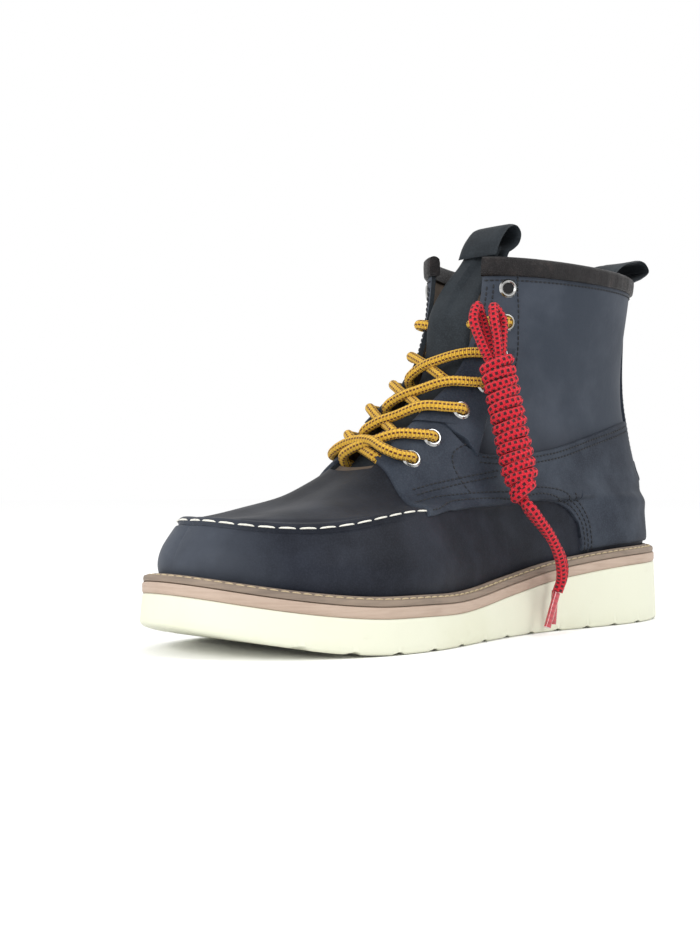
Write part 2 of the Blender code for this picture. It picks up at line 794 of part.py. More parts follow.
def make_loops(tongue_rows, finishes):
    """The pull loops: one over the collar at the heel, and one on the tongue's top."""
    back = place(1.0, [0.0], LATERAL)[0][1]
    path = [
        (back - rear * LOOP_WIDE, COLLAR_HEIGHT + up * LOOP_WIDE) for rear, up in HEEL_LOOP
    ]
    sheet("heel_loop", loop_grid(path, 0.0, SHAFT_HALF), LOOP_THICK, (0, -1, 0), finishes["tongue"])
    x, y, z = tongue_rows[-1][3]
    lean = tongue_rows[-1][3] - tongue_rows[-2][3]
    along = lean[1:] / np.linalg.norm(lean[1:])
    path = [
        (y + (up * along[0] - rear * along[1]) * LOOP_WIDE, z + (up * along[1] + rear * along[0]) * LOOP_WIDE)
        for rear, up in TONGUE_LOOP
    ]
    edge_x, edge_y = (tongue_rows[-1][-1] - tongue_rows[-1][3])[:2]
    bend = edge_x**2 / (2 * edge_y)
    sheet("tongue_loop", loop_grid(path, x, bend), LOOP_THICK, (0, 1, 0), finishes["tongue"])


def make_quarters(finishes):
    """The lace quarters, cut from a form set off the skin by the quarter's outline seen from the side."""
    made = []
    outline = [(LENGTH * along, COLLAR_HEIGHT * up) for along, up in QUARTER]
    turn = Matrix(((0, 0, 1, 0), (1, 0, 0, 0), (0, 1, 0, 0), (0, 0, 0, 1)))
    for side, word in ((LATERAL, "lateral"), (MEDIAL, "medial")):
        grid = []
        for level in (0.08, 0.13, 0.17, 0.21, 0.25, 0.29, 0.33, 0.40, 0.46, 0.51, 0.57, 0.61, 0.65):
            back = turn_of_width(level, side, BACKSTAY_WIDE / 2 + 2 * CLEAR, front=False)
            turns = np.linspace(0.1, 0.95, 100)
            reach = np.interp(QUARTER_FRONT * LENGTH, skin([level], turns, side)[0, :, 1], turns)
            front = min(reach, throat_turn(max(level, THROAT_LEVEL), side))
            grid.append(list(place(level, np.linspace(back, front, 15), side, QUARTER_SEAT)))
        quarter = sheet(f"quarter_{word}", grid, OVERLAY_THICK, (side, -1, 0), finishes["upper"])
        curve = bpy.data.curves.new(f"quarter_{word}_outline", "CURVE")
        curve.dimensions = "2D"
        curve.fill_mode = "BOTH"
        curve.extrude = BALL_WIDTH / 2
        line = curve.splines.new("POLY")
        line.points.add(len(outline) - 1)
        for spot, (y, z) in zip(line.points, outline):
            spot.co = (y, z, 0, 1)
        line.use_cyclic_u = True
        guide = bpy.data.objects.new("guide", curve)
        bpy.context.scene.collection.objects.link(guide)
        cutter = new_object(f"quarter_{word}_outline", mesh_from(guide), None, "cutters")
        bpy.data.objects.remove(guide)
        cutter.matrix_world = Matrix.Translation((side * BALL_WIDTH / 2, 0, 0)) @ turn
        boolean(quarter, cutter, "INTERSECT")
        made.append(quarter)
    return made


def between_facings(level, wide, side, out):
    """A point on the closed form of the instep."""
    turn = turn_of_width(level, side, abs(wide))
    return place(level, [turn], side, [out])[0]


def make_laces(finishes):
    """The bar of the lowest row, the crossings over the tongue, and the bar behind it."""
    radius = LACE_THICK / 2
    rows = EYELET_LEVELS
    over = radius + 2 * CLEAR
    rim = EYELET_ASIDE - EYELET_OUTER / 2 - CLEAR

    def over_facing(level, side, lift):
        edge_at = half_gap(level, side)
        return [
            between_facings(level, edge_at * 0.5, side, over * 0.75 + lift * 0.6),
            between_facings(level, edge_at + 0.0, side, over + lift),
            between_facings(level, edge_at + rim - CLEAR, side, over + lift),
        ]

    lift = OVERLAY_THICK + QUARTER_SEAT
    lowest = rows[-1]
    line = (
        over_facing(lowest, LATERAL, lift)[::-1]
        + [between_facings(lowest, 0.0, LATERAL, over * 0.6)]
        + over_facing(lowest, MEDIAL, lift)
    )
    tube("lace_bar_7", line, LACE_THICK, finishes["lace"])

    for number in (6, 5, 4, 3):
        low, high = rows[number], rows[number - 1]
        crossing = (low + high) / 2
        lifted = lift if number >= 5 else 0.0
        halves = []
        for side in (LATERAL, MEDIAL):
            near_edge = half_gap(low, side) - radius - CLEAR * 2
            start = between_facings(low * 0.75 + high * 0.25, near_edge, side, -0.8 * MM)
            middle = between_facings(crossing, 0.0, side, over * 0.55)
            line = [start, middle] + over_facing(high, -side, lifted)
            guide = tube(f"guide_{number}", smooth_line(line, LACE_THICK * 1.6), LACE_THICK, None)
            thing = bpy.data.objects.new("guide", guide)
            bpy.context.scene.collection.objects.link(thing)
            bpy.context.view_layer.update()
            halves.append(mesh_from(thing))
            bpy.data.objects.remove(thing)
        cross = new_object(f"lace_cross_{number}", halves[0], finishes["lace"])
        other = new_object(f"lace_cross_{number}_half", halves[1], None, "cutters")
        boolean(cross, other, "UNION")

    level = rows[1]
    behind = -WALL - radius - 2 * CLEAR
    line = [between_facings(level, 0.0, LATERAL, behind)]
    for side in (LATERAL, MEDIAL):
        edge_at = half_gap(level, side)
        ends = [
            between_facings(level, edge_at, side, behind),
            between_facings(level, edge_at + EYELET_ASIDE - 3 * MM, side, behind),
        ]
        line = ends[::-1] + line if side == LATERAL else line + ends
    tube("lace_bar_2", smooth_line(line, LACE_THICK * 1.5), LACE_THICK, finishes["lace"])


def make_spare(finishes):
    """The spare lace: a hank that hangs on the lace of the second row, with two free ends and tips."""
    top, bottom = Vector(HANK_TOP) * MM, Vector(HANK_BOTTOM) * MM
    long = (top - bottom).length
    half = HANK_WIDE / 2
    outline = [
        (half * math.cos(a), -long / 2 + half + half * math.sin(a))
        for a in np.linspace(math.pi, 2 * math.pi, 9)
    ]
    outline += [
        (half * math.cos(a), long / 2 - half + half * math.sin(a)) for a in np.linspace(0, math.pi, 9)
    ]
    curve = bpy.data.curves.new("spare_lace_hank", "CURVE")
    curve.dimensions = "2D"
    curve.fill_mode = "BOTH"
    rounding = HANK_DEEP * 0.3
    curve.extrude = HANK_DEEP / 2 - rounding
    curve.bevel_depth = rounding
    curve.bevel_resolution = 1
    curve.offset = -rounding
    line = curve.splines.new("POLY")
    line.points.add(len(outline) - 1)
    for spot, (x, y) in zip(line.points, outline):
        spot.co = (x, y, 0, 1)
    line.use_cyclic_u = True
    hank = new_object("spare_lace_hank", curve, finishes["spare_lace"])
    up = (top - bottom).normalized()
    away = Vector((-0.72, 0.69, 0))
    across = up.cross(away).normalized()
    away = across.cross(up)
    turn = Matrix((across, up, away)).transposed().to_4x4()
    hank.matrix_world = Matrix.Translation((top + bottom) / 2) @ turn
    for word, line, tip in (("a", SPARE_END_A, SPARE_TIP_A), ("b", SPARE_END_B, SPARE_TIP_B)):
        points = smooth_line(np.array(line) * MM, SPARE_THICK * 1.3)
        tube(f"spare_lace_end_{word}", points, SPARE_THICK, finishes["spare_lace"])
        tube(f"spare_lace_tip_{word}", np.array(tip) * MM, TIP_THICK, finishes["tip"])


CORD_NODES = ("spare_lace_hank", "spare_lace_end", "spare_lace_tip")


def shift():
    """Brings the middle of the boot's box, on the floor, to the origin."""
    graph = bpy.context.evaluated_depsgraph_get()
    corners = []
    things = [o for o in bpy.data.objects if o.type in {"MESH", "CURVE"}]
    for thing in bpy.data.collections["wedge_sole_work_boot"].objects:
        if not thing.name.startswith(CORD_NODES):
            seen = thing.evaluated_get(graph)
            shape = seen.to_mesh()
            corners += [thing.matrix_world @ v.co for v in shape.vertices]
            seen.to_mesh_clear()
    low = [min(c[k] for c in corners) for k in range(3)]
    high = [max(c[k] for c in corners) for k in range(3)]
    move = Matrix.Translation((-(low[0] + high[0]) / 2, -(low[1] + high[1]) / 2, -low[2]))
    for thing in things:
        thing.matrix_world = move @ thing.matrix_world


def main():
    for thing in list(bpy.data.objects):
        bpy.data.objects.remove(thing, do_unlink=True)
    for name in ("wedge_sole_work_boot", "cutters"):
        bpy.context.scene.collection.children.link(bpy.data.collections.new(name))
    finishes = {
        "outsole": material("white_crepe", (0.86, 0.84, 0.72), 0.6),
        "midsole": material("tan_midsole", (0.49, 0.38, 0.29), 0.7),
        "welt": material("tan_welt", (0.42, 0.33, 0.25), 0.65),
        "insole": material("insole_leather", (0.34, 0.25, 0.17), 0.7),
        "upper": material("navy_nubuck", (0.030, 0.034, 0.042), 0.72),
        "tongue": material("navy_nubuck_soft", (0.026, 0.030, 0.034), 0.78),
        "binding": material("dark_binding", (0.060, 0.048, 0.042), 0.35),
        "eyelet": material("nickel", (0.72, 0.71, 0.69), 0.25, 1.0),
        "lace": material("gold_lace", (0.72, 0.42, 0.05), 0.8),
        "spare_lace": material("red_lace", (0.48, 0.02, 0.03), 0.8),
        "tip": material("clear_tip", (0.35, 0.05, 0.05), 0.2),
    }
    make_sole(finishes)
    upper = make_upper(finishes)
    tongue, rows = make_tongue(finishes)
    make_binding(finishes)
    make_backstay(finishes)
    make_loops(rows, finishes)
    quarters = make_quarters(finishes)
    make_eyelets(upper, quarters, finishes)
    make_laces(finishes)
    make_spare(finishes)
    bpy.context.view_layer.update()
    shift()


main()
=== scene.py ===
# %% [markdown]
# # A wedge sole work boot
#
# This lesson dresses the plain solids of a left work boot with the leather, thread, lace and rubber that
# the real one has. Each cell adds one piece of the boot, from the sole up, and prints what it made.
# Everything is in metres, with +Y to the toe, -X to the outer side and +Z up.

# %% Tools and the frame
import math

import bpy
import numpy as np
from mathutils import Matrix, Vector


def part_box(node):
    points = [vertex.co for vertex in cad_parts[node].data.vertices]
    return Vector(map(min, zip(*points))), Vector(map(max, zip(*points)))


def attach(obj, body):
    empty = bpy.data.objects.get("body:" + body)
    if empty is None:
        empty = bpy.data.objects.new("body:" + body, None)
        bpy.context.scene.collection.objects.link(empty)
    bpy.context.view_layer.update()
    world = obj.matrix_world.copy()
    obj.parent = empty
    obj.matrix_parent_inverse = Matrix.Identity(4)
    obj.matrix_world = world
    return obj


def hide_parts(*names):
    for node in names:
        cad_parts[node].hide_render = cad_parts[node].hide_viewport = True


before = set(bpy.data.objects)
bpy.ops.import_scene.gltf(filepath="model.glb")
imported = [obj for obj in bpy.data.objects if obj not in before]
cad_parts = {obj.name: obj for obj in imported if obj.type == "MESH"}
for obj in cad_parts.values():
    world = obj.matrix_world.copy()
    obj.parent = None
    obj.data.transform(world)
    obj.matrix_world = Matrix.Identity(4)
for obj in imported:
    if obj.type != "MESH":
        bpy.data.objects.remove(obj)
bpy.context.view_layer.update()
MM = 0.001
LATERAL, MEDIAL = -1, 1
SIDES = ((LATERAL, "lateral"), (MEDIAL, "medial"))

# %% [markdown]
# ## The last
#
# A shoe is drawn from its last. The sole's edge is a table of widths, the wall rises from the welt as rings
# inset from that edge, and the shaft is a stack of ovals. One function then gives any point of the upper
# from how high it is and how far round, so every panel, seam and stitch can follow the same form.

# %% Named sizes and tables
LENGTH = 305 * MM
BALL_WIDTH = 117 * MM
HEEL_STACK = 31 * MM
TOE_SPRING = 12.5 * MM
MIDSOLE_THICK = 5 * MM
WELT_THICK = 3.2 * MM
CLEAR = 0.3 * MM
WALL = 2.2 * MM
COLLAR_HEIGHT = 180 * MM
SHAFT_HALF = 38 * MM
MOC_WALL = 37 * MM
EDGE_MARGIN = 5.6 * MM
THROAT_GAP = 36 * MM
MEDIAL_RISE = 4 * MM
TONGUE_THICK = 2.0 * MM
BACKSTAY_WIDE = 29 * MM
LOOP_WIDE = 25 * MM
LOOP_THICK = 1.8 * MM
EYELET_HOLE = 5.2 * MM
EYELET_OUTER = 9.2 * MM
EYELET_ASIDE = 9.0 * MM
LACE_THICK = 4.8 * MM
LOOPS_THICK = 4.6 * MM
SPARE_THICK = 5.0 * MM
TIP_THICK = 3.4 * MM
THROAT_LEVEL = 0.46
FLARE = 0.8 * MM

EDGE = (
    # along, lateral, medial
    (0.000, 0.000, 0.000),
    (0.010, -0.158, 0.158),
    (0.036, -0.255, 0.255),
    (0.085, -0.317, 0.317),
    (0.164, -0.348, 0.339),
    (0.262, -0.343, 0.317),
    (0.354, -0.330, 0.295),
    (0.449, -0.352, 0.321),
    (0.551, -0.411, 0.387),
    (0.666, -0.482, 0.467),
    (0.754, -0.486, 0.484),
    (0.836, -0.436, 0.456),
    (0.911, -0.335, 0.392),
    (0.967, -0.189, 0.282),
    (0.990, -0.079, 0.194),
    (1.000, 0.066, 0.066),
)
SOLE_SIDE = (
    # along, thick, spring
    (0.000, 1.000, 0.00),
    (0.197, 0.935, 0.00),
    (0.328, 0.806, 0.00),
    (0.459, 0.613, 0.00),
    (0.590, 0.470, 0.00),
    (0.705, 0.480, 0.00),
    (0.780, 0.480, 0.04),
    (0.853, 0.475, 0.22),
    (0.934, 0.450, 0.60),
    (1.000, 0.435, 1.00),
)
LOW_RINGS = (
    # level, insets at the five places, rises at the five places
    (0.00, (3.00, 3.00, 3.00, 3.00, 3.00), (0.000, 0.000, 0.000, 0.000, 0.000)),
    (0.06, (1.15, 1.20, 1.15, 1.25, 1.55), (0.000, 0.000, 0.000, 0.000, 0.000)),
    (0.09, (0.85, 1.00, 0.95, 1.05, 1.35), (0.070, 0.070, 0.070, 0.070, 0.070)),
    (0.17, (0.55, 1.00, 0.90, 1.05, 1.75), (0.300, 0.350, 0.430, 0.350, 0.320)),
    (0.25, (0.65, 1.40, 2.25, 2.40, 3.15), (0.540, 0.790, 1.000, 0.740, 0.690)),
)
PLACES = (0.00, 0.41, 0.60, 0.76, 1.00)
HIGH_RINGS = (
    # level, back, front, lateral, medial, lean, z at back, side, front, gap
    (0.33, 0.0150, 0.850, 1.060, 1.060, 0.060, 0.385, 0.362, 0.320, 0.78),
    (0.40, 0.0200, 0.748, 0.950, 0.940, 0.045, 0.430, 0.406, 0.362, 0.78),
    (0.46, 0.0280, 0.670, 0.875, 0.865, 0.025, 0.480, 0.468, 0.430, 0.78),
    (0.51, 0.0370, 0.630, 0.830, 0.825, 0.015, 0.535, 0.525, 0.492, 0.78),
    (0.57, 0.0450, 0.580, 0.800, 0.800, 0.008, 0.605, 0.600, 0.565, 0.82),
    (0.65, 0.0510, 0.522, 0.800, 0.800, 0.000, 0.690, 0.682, 0.650, 0.86),
    (0.78, 0.0520, 0.472, 0.850, 0.850, 0.000, 0.805, 0.800, 0.780, 0.92),
    (0.90, 0.0490, 0.450, 0.940, 0.940, 0.000, 0.910, 0.908, 0.900, 0.96),
    (1.00, 0.0460, 0.446, 1.000, 1.000, 0.000, 0.985, 0.988, 0.995, 1.00),
)
GAP_LEVELS = tuple(row[0] for row in HIGH_RINGS)
GAP_SHARES = {LATERAL: tuple(row[9] for row in HIGH_RINGS)}
GAP_SHARES[MEDIAL] = GAP_SHARES[LATERAL][:-2] + (0.88, 0.80)
EYELET_LEVELS = (0.920, 0.822, 0.728, 0.640, 0.572, 0.515, 0.470)
BACK_ROUND = 0.72
FRONT_ROUND = 0.60
NUDGE = 0.004
print("boot, mm:", [round(size / MM) for size in (LENGTH, BALL_WIDTH, COLLAR_HEIGHT)])

# %% [markdown]
# ## Curves through the tables
#
# Each table gives a few places only. One smooth curve joins them, first along the sole's edge, then round
# each ring, and last up from ring to ring, which gives a point of the upper for any level and turn.


# %% The form's functions
def ease(share):
    """A share from 0 to 1 with a soft start and end."""
    return share * share * (3 - 2 * share)


def slopes(x, y):
    """Tangents of a smooth curve through values y at stations x."""
    step = np.diff(x).reshape((-1,) + (1,) * (y.ndim - 1))
    slope = np.diff(y, axis=0) / step
    inner = (slope[:-1] * step[1:] + slope[1:] * step[:-1]) / (step[:-1] + step[1:])
    return np.concatenate([slope[:1], inner, slope[-1:]])


def through(stations, values, at, each=False):
    """A smooth curve through values, read at the places in at. With each, point n reads column n."""
    x = np.asarray(stations, float)
    y = np.asarray(values, float)
    at = np.clip(np.asarray(at, float), x[0], x[-1])
    tangent = slopes(x, y)
    i = np.clip(np.searchsorted(x, at, side="right") - 1, 0, len(x) - 2)
    tail = (1,) * (y.ndim - (2 if each else 1))
    t = ((at - x[i]) / (x[i + 1] - x[i])).reshape(at.shape + tail)
    h = (x[i + 1] - x[i]).reshape(at.shape + tail)
    here, there = ((i, np.arange(len(at))), (i + 1, np.arange(len(at)))) if each else (i, i + 1)
    return (
        (2 * t**3 - 3 * t**2 + 1) * y[here]
        + (t**3 - 2 * t**2 + t) * h * tangent[here]
        + (3 * t**2 - 2 * t**3) * y[there]
        + (t**3 - t**2) * h * tangent[there]
    )


def around_of(along):
    """How far round from heel (0) to toe (1) a share of the length is."""
    return np.arccos(1 - 2 * np.asarray(along, float)) / math.pi


def edge(s, side, inset=0.0):
    """Points (x, y) of the sole's edge round one side, drawn in by inset."""
    table = np.array(EDGE)
    column = table[:, 1] if side == LATERAL else table[:, 2]
    places = around_of(table[:, 0])

    def plain(s):
        x = through(places, column, s) * BALL_WIDTH
        y = LENGTH * (1 - np.cos(math.pi * np.clip(s, 0, 1))) / 2
        return np.stack([x, y], -1)

    s = np.asarray(s, float)
    ahead = plain(np.clip(s + NUDGE, 0, 1)) - plain(np.clip(s - NUDGE, 0, 1))
    ahead /= np.linalg.norm(ahead, axis=-1, keepdims=True)
    inward = np.stack([ahead[..., 1], -ahead[..., 0]], -1) * -side
    inward[s <= 0] = (0, 1)
    inward[s >= 1] = (0, -1)
    return plain(s) + inward * np.asarray(inset)[..., None]


SOLE_ALONG, SOLE_SHARE, SOLE_SPRING = np.array(SOLE_SIDE).T


def underside(y):
    return TOE_SPRING * np.maximum(through(SOLE_ALONG, SOLE_SPRING, np.asarray(y) / LENGTH), 0)


def sole_top(y):
    return underside(y) + HEEL_STACK * through(SOLE_ALONG, SOLE_SHARE, np.asarray(y) / LENGTH)


def welt_top(y):
    return sole_top(y) + MIDSOLE_THICK + WELT_THICK


def low_ring(row, s, side):
    """A ring of the wall that rises from the welt, inset from the sole's edge."""
    _, insets, rises = row
    xy = edge(s, side, through(PLACES, insets, s) * EDGE_MARGIN)
    rise = through(PLACES, rises, s) * MOC_WALL
    return np.concatenate([xy, (welt_top(xy[:, 1]) + CLEAR + rise)[:, None]], axis=1)


def high_ring(row, s, side):
    """A ring of the shaft: an oval, blunter at its back than at its front."""
    level, back, front, lateral, medial, lean, z_back, z_side, z_front, _ = row
    phi = math.pi * s
    half = SHAFT_HALF * (lateral if side == LATERAL else medial)
    blunt = BACK_ROUND + (FRONT_ROUND - BACK_ROUND) * (1 - np.cos(phi)) / 2
    x = side * half * np.clip(np.sin(phi), 0, 1) ** blunt
    x = x + lean * BALL_WIDTH * (1 - np.cos(phi)) / 2
    y = LENGTH * (back + front) / 2 - LENGTH * (front - back) / 2 * np.cos(phi)
    z = COLLAR_HEIGHT * through((0, 0.5, 1), (z_back, z_side, z_front), s)
    if side == MEDIAL:
        z = z + MEDIAL_RISE * max(0.0, level - 0.65) / 0.35 * (1 - np.cos(phi)) / 2
    return np.stack([x, y, z], -1)


AT_LOW = [row[0] for row in LOW_RINGS]
AT_HIGH = [row[0] for row in HIGH_RINGS]
SEAM = AT_LOW[-1]


def skin(level, s, side):
    """Points of the upper's outer face for arrays of levels and turns of one shape."""
    level, s = np.broadcast_arrays(np.asarray(level, float), np.asarray(s, float))
    shape = s.shape
    level, s = level.ravel(), s.ravel()
    low = np.array([low_ring(row, s, side) for row in LOW_RINGS])
    high = np.array([high_ring(row, s, side) for row in HIGH_RINGS])
    smooth = through(AT_LOW + AT_HIGH, np.concatenate([low, high]), level, each=True)
    below = through(AT_LOW, low, level, each=True)
    above = through([SEAM] + AT_HIGH, np.concatenate([low[-1:], high]), level, each=True)
    corner = np.where((level <= SEAM)[:, None], below, above)
    share = ease(np.clip((s - 0.46) / 0.12, 0, 1))[:, None]
    return (smooth + (corner - smooth) * share).reshape(shape + (3,))


def place(level, s, side, out=0.0):
    """Points of the skin set off by out along its normals, and those normals."""
    level, s = np.broadcast_arrays(np.asarray(level, float), np.asarray(s, float))
    here = skin(level, s, side)
    up = skin(np.minimum(level + NUDGE, 1), s, side) - skin(np.maximum(level - NUDGE, 0), s, side)
    ahead = skin(level, np.minimum(s + NUDGE, 1), side) - skin(level, np.maximum(s - NUDGE, 0), side)
    normal = np.cross(ahead, up) * side
    normal /= np.linalg.norm(normal, axis=-1, keepdims=True)
    normal[(s <= 0) | (s >= 1), 0] = 0
    return here + normal * np.broadcast_to(np.asarray(out, float), s.shape)[..., None], normal


def turn_of_width(level, side, wide, front=True):
    """Where round one side the skin stands wide from the middle, near the front or the back."""
    s = np.linspace(0.5, 1, 200) if front else np.linspace(0.0, 0.5, 200)
    x = skin(level, s, side)[:, 0]
    away = np.abs(x - (x[-1] if front else x[0]))
    order = np.argsort(away)
    return np.interp(wide, away[order], s[order])


def half_gap(level, side):
    """Half the width of the throat at a level."""
    return THROAT_GAP / 2 * float(through(GAP_LEVELS, GAP_SHARES[side], level))


def throat_turn(level, side):
    """Where round one side the throat's edge lies at a level."""
    level = max(level, THROAT_LEVEL)
    return float(turn_of_width(level, side, half_gap(level, side)))


def instep(level, wide, side, out):
    """A point on the closed form of the instep, wide from its middle."""
    turn = turn_of_width(level, side, abs(wide))
    return place(level, np.array([turn]), side, out)[0][0]


low_corner = np.array(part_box("outsole")[0])
sides_x = edge(np.linspace(0, 1, 400), LATERAL)[:, 0]
SHIFT = np.array([low_corner[0] + FLARE - sides_x.min(), low_corner[1] + FLARE, 0.0])
print("heel point in the row's frame, mm", np.round(SHIFT / MM, 2))

# %% [markdown]
# ## Finding a place from the side
#
# A shoemaker marks panels on the last seen from the side. This search does the same: it takes a place along
# and up, and finds the level and the turn of the skin there, for many points at once. It starts at the
# nearest knot of a coarse net and then takes a few steps of Newton's method.


# %% From a side view to the skin
def from_side(y, z, side):
    y, z = np.broadcast_arrays(np.asarray(y, float), np.asarray(z, float))
    shape = y.shape
    y, z = y.ravel(), z.ravel()
    levels, turns = np.meshgrid(np.linspace(0.07, 0.995, 50), np.linspace(0.01, 0.99, 70), indexing="ij")
    net = skin(levels, turns, side)
    at = np.empty((len(y), 2))
    for n in range(len(y)):
        k = np.argmin((net[..., 1] - y[n]) ** 2 + (net[..., 2] - z[n]) ** 2)
        at[n] = levels.ravel()[k], turns.ravel()[k]
    small = 0.002
    target = np.stack([y, z], -1)
    for _ in range(7):
        here = skin(at[:, 0], at[:, 1], side)[:, 1:]
        up = (skin(at[:, 0] + small, at[:, 1], side)[:, 1:] - here) / small
        ahead = (skin(at[:, 0], at[:, 1] + small, side)[:, 1:] - here) / small
        miss = target - here
        det = up[:, 0] * ahead[:, 1] - up[:, 1] * ahead[:, 0]
        det = np.where(np.abs(det) < 1e-9, 1e-9, det)
        step = np.stack(
            [
                (miss[:, 0] * ahead[:, 1] - miss[:, 1] * ahead[:, 0]) / det,
                (up[:, 0] * miss[:, 1] - up[:, 1] * miss[:, 0]) / det,
            ],
            -1,
        )
        at = at + np.clip(step, -0.03, 0.03)
        at[:, 0] = np.clip(at[:, 0], 0.05, 0.996)
        at[:, 1] = np.clip(at[:, 1], 0.004, 0.99)
    return at[:, 0].reshape(shape), at[:, 1].reshape(shape)


print("ankle on the skin:", [round(float(v[0]), 3) for v in from_side([0.07], [0.10], LATERAL)])

# %% [markdown]
# ## Meshes
#
# Every piece is a grid of points wrapped round, folded over or closed. One function turns rows of points
# into a smooth mesh, and another draws a round cord along a line and keeps how far along it each point is,
# so that a braid can be drawn on it.


# %% Helpers that make meshes
def piece(name, points, faces, finish, *nodes, slot, uv=None, angle=40):
    """A mesh from points and faces, on the part's body, in the place of the nodes named."""
    mesh = bpy.data.meshes.new(name)
    placed = np.asarray(points, float).reshape(-1, 3) + SHIFT
    mesh.from_pydata(placed.tolist(), [], [list(f) for f in faces])
    mesh.update()
    mesh.shade_smooth()
    mesh.set_sharp_from_angle(angle=math.radians(angle))
    if uv is not None:
        layer = mesh.uv_layers.new(name="lay")
        index = np.empty(len(mesh.loops), int)
        mesh.loops.foreach_get("vertex_index", index)
        layer.data.foreach_set("uv", np.asarray(uv, float)[index].ravel())
    thing = bpy.data.objects.new(name, mesh)
    bpy.context.scene.collection.objects.link(thing)
    mesh.materials.append(finish)
    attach(thing, "root")
    if nodes:
        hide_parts(*nodes)
    print(f"{name}: {len(mesh.vertices)} points, {len(mesh.polygons)} faces")
    return thing


def grid_faces(rows, columns, closed=False, start=0, flip=False):
    """Quads of a grid of points, closed round its columns or open."""
    wide = columns if closed else columns - 1
    r, c = np.meshgrid(np.arange(rows - 1), np.arange(wide), indexing="ij")
    a = r * columns + c
    b = r * columns + (c + 1) % columns
    quads = np.stack([a, b, b + columns, a + columns], -1).reshape(-1, 4) + start
    return (quads[:, ::-1] if flip else quads).tolist()


def far_along(points):
    """How far along a line each of its points is."""
    return np.concatenate([[0], np.cumsum(np.linalg.norm(np.diff(points, axis=0), axis=1))])


def tube(points, thick, sides):
    """Points, faces and lay of a closed cord along points: lay is metres along and a share round."""
    p = np.asarray(points, float)
    ahead = np.gradient(p, axis=0)
    ahead /= np.linalg.norm(ahead, axis=1, keepdims=True)
    across = np.cross(ahead[0], (0, 0, 1))
    across /= np.linalg.norm(across)
    far = far_along(p)
    turns = np.linspace(0, 2 * math.pi, sides + 1)
    rings, lay = [], []
    for n in range(len(p)):
        across = across - ahead[n] * across.dot(ahead[n])
        across /= np.linalg.norm(across)
        other = np.cross(ahead[n], across)
        ring = np.cos(turns)[:, None] * across + np.sin(turns)[:, None] * other
        rings.append(p[n] + ring * thick / 2)
        lay += [(far[n], k / sides) for k in range(sides + 1)]
    wide = sides + 1
    faces = grid_faces(len(p), wide)
    count = len(p) * wide
    faces += [(count, k + 1, k) for k in range(sides)]
    last = (len(p) - 1) * wide
    faces += [(count + 1, last + k, last + k + 1) for k in range(sides)]
    lay += [(0, 0), (far[-1], 0)]
    return np.concatenate([np.concatenate(rings), p[:1], p[-1:]]), faces, lay


def smooth_line(points, step):
    """Points about step apart on a smooth curve through the given ones."""
    points = np.array(points, float)
    far = far_along(points)
    return through(far, points, np.linspace(0, far[-1], max(3, math.ceil(far[-1] / step) + 1)))


def walk(points, pitch):
    """Places pitch apart along a line: index shares for interpolation."""
    far = far_along(points)
    at = np.arange(pitch / 2, far[-1], pitch)
    return np.interp(at, far, np.arange(len(far)))


def read_at(values, index):
    """Values of a line between its points, at index shares."""
    i = np.clip(index.astype(int), 0, len(values) - 2)
    t = (index - i)[:, None]
    return values[i] * (1 - t) + values[i + 1] * t


STITCH_RINGS = ((-0.5, 0.35, -0.6), (-0.38, 0.85, 0.0), (0, 1, 0.3), (0.38, 0.85, 0.0), (0.5, 0.35, -0.6))
STITCH_SIDES = 6


def stitches(name, lines, pitch, long, wide, high, finish, slot):
    """Thread laid along lines, each a pair of points and normals, as one joined mesh of small grains."""
    points, faces = [], []
    ring = STITCH_SIDES
    for line, normals in lines:
        line, normals = np.asarray(line), np.asarray(normals)
        index = walk(line, pitch)
        spots, ups = read_at(line, index), read_at(normals, index)
        ahead = read_at(np.gradient(line, axis=0), index)
        ahead /= np.linalg.norm(ahead, axis=1, keepdims=True)
        ups /= np.linalg.norm(ups, axis=1, keepdims=True)
        across = np.cross(ups, ahead)
        for spot, n, a, c in zip(spots, ups, ahead, across):
            start = len(points)
            for along, size, lift in STITCH_RINGS:
                for k in range(ring):
                    turn = 2 * math.pi * k / ring
                    side_way = c * math.cos(turn) * wide / 2 * size
                    rise = n * (math.sin(turn) * high / 2 * size + lift * high / 2)
                    points.append(spot + a * along * long + side_way + rise)
            faces += grid_faces(len(STITCH_RINGS), ring, closed=True, start=start)
            faces.append([start + k for k in range(ring)][::-1])
            faces.append([start + (len(STITCH_RINGS) - 1) * ring + k for k in range(ring)])
    piece(name, points, faces, finish, slot=slot)


print("sides of a stitch:", STITCH_SIDES)


# %% [markdown]
# ## Finishes
#
# Each finish is a small network of shader nodes. A class wraps a node's socket, so that the pattern can be
# written as ordinary arithmetic, and one method makes any other node.


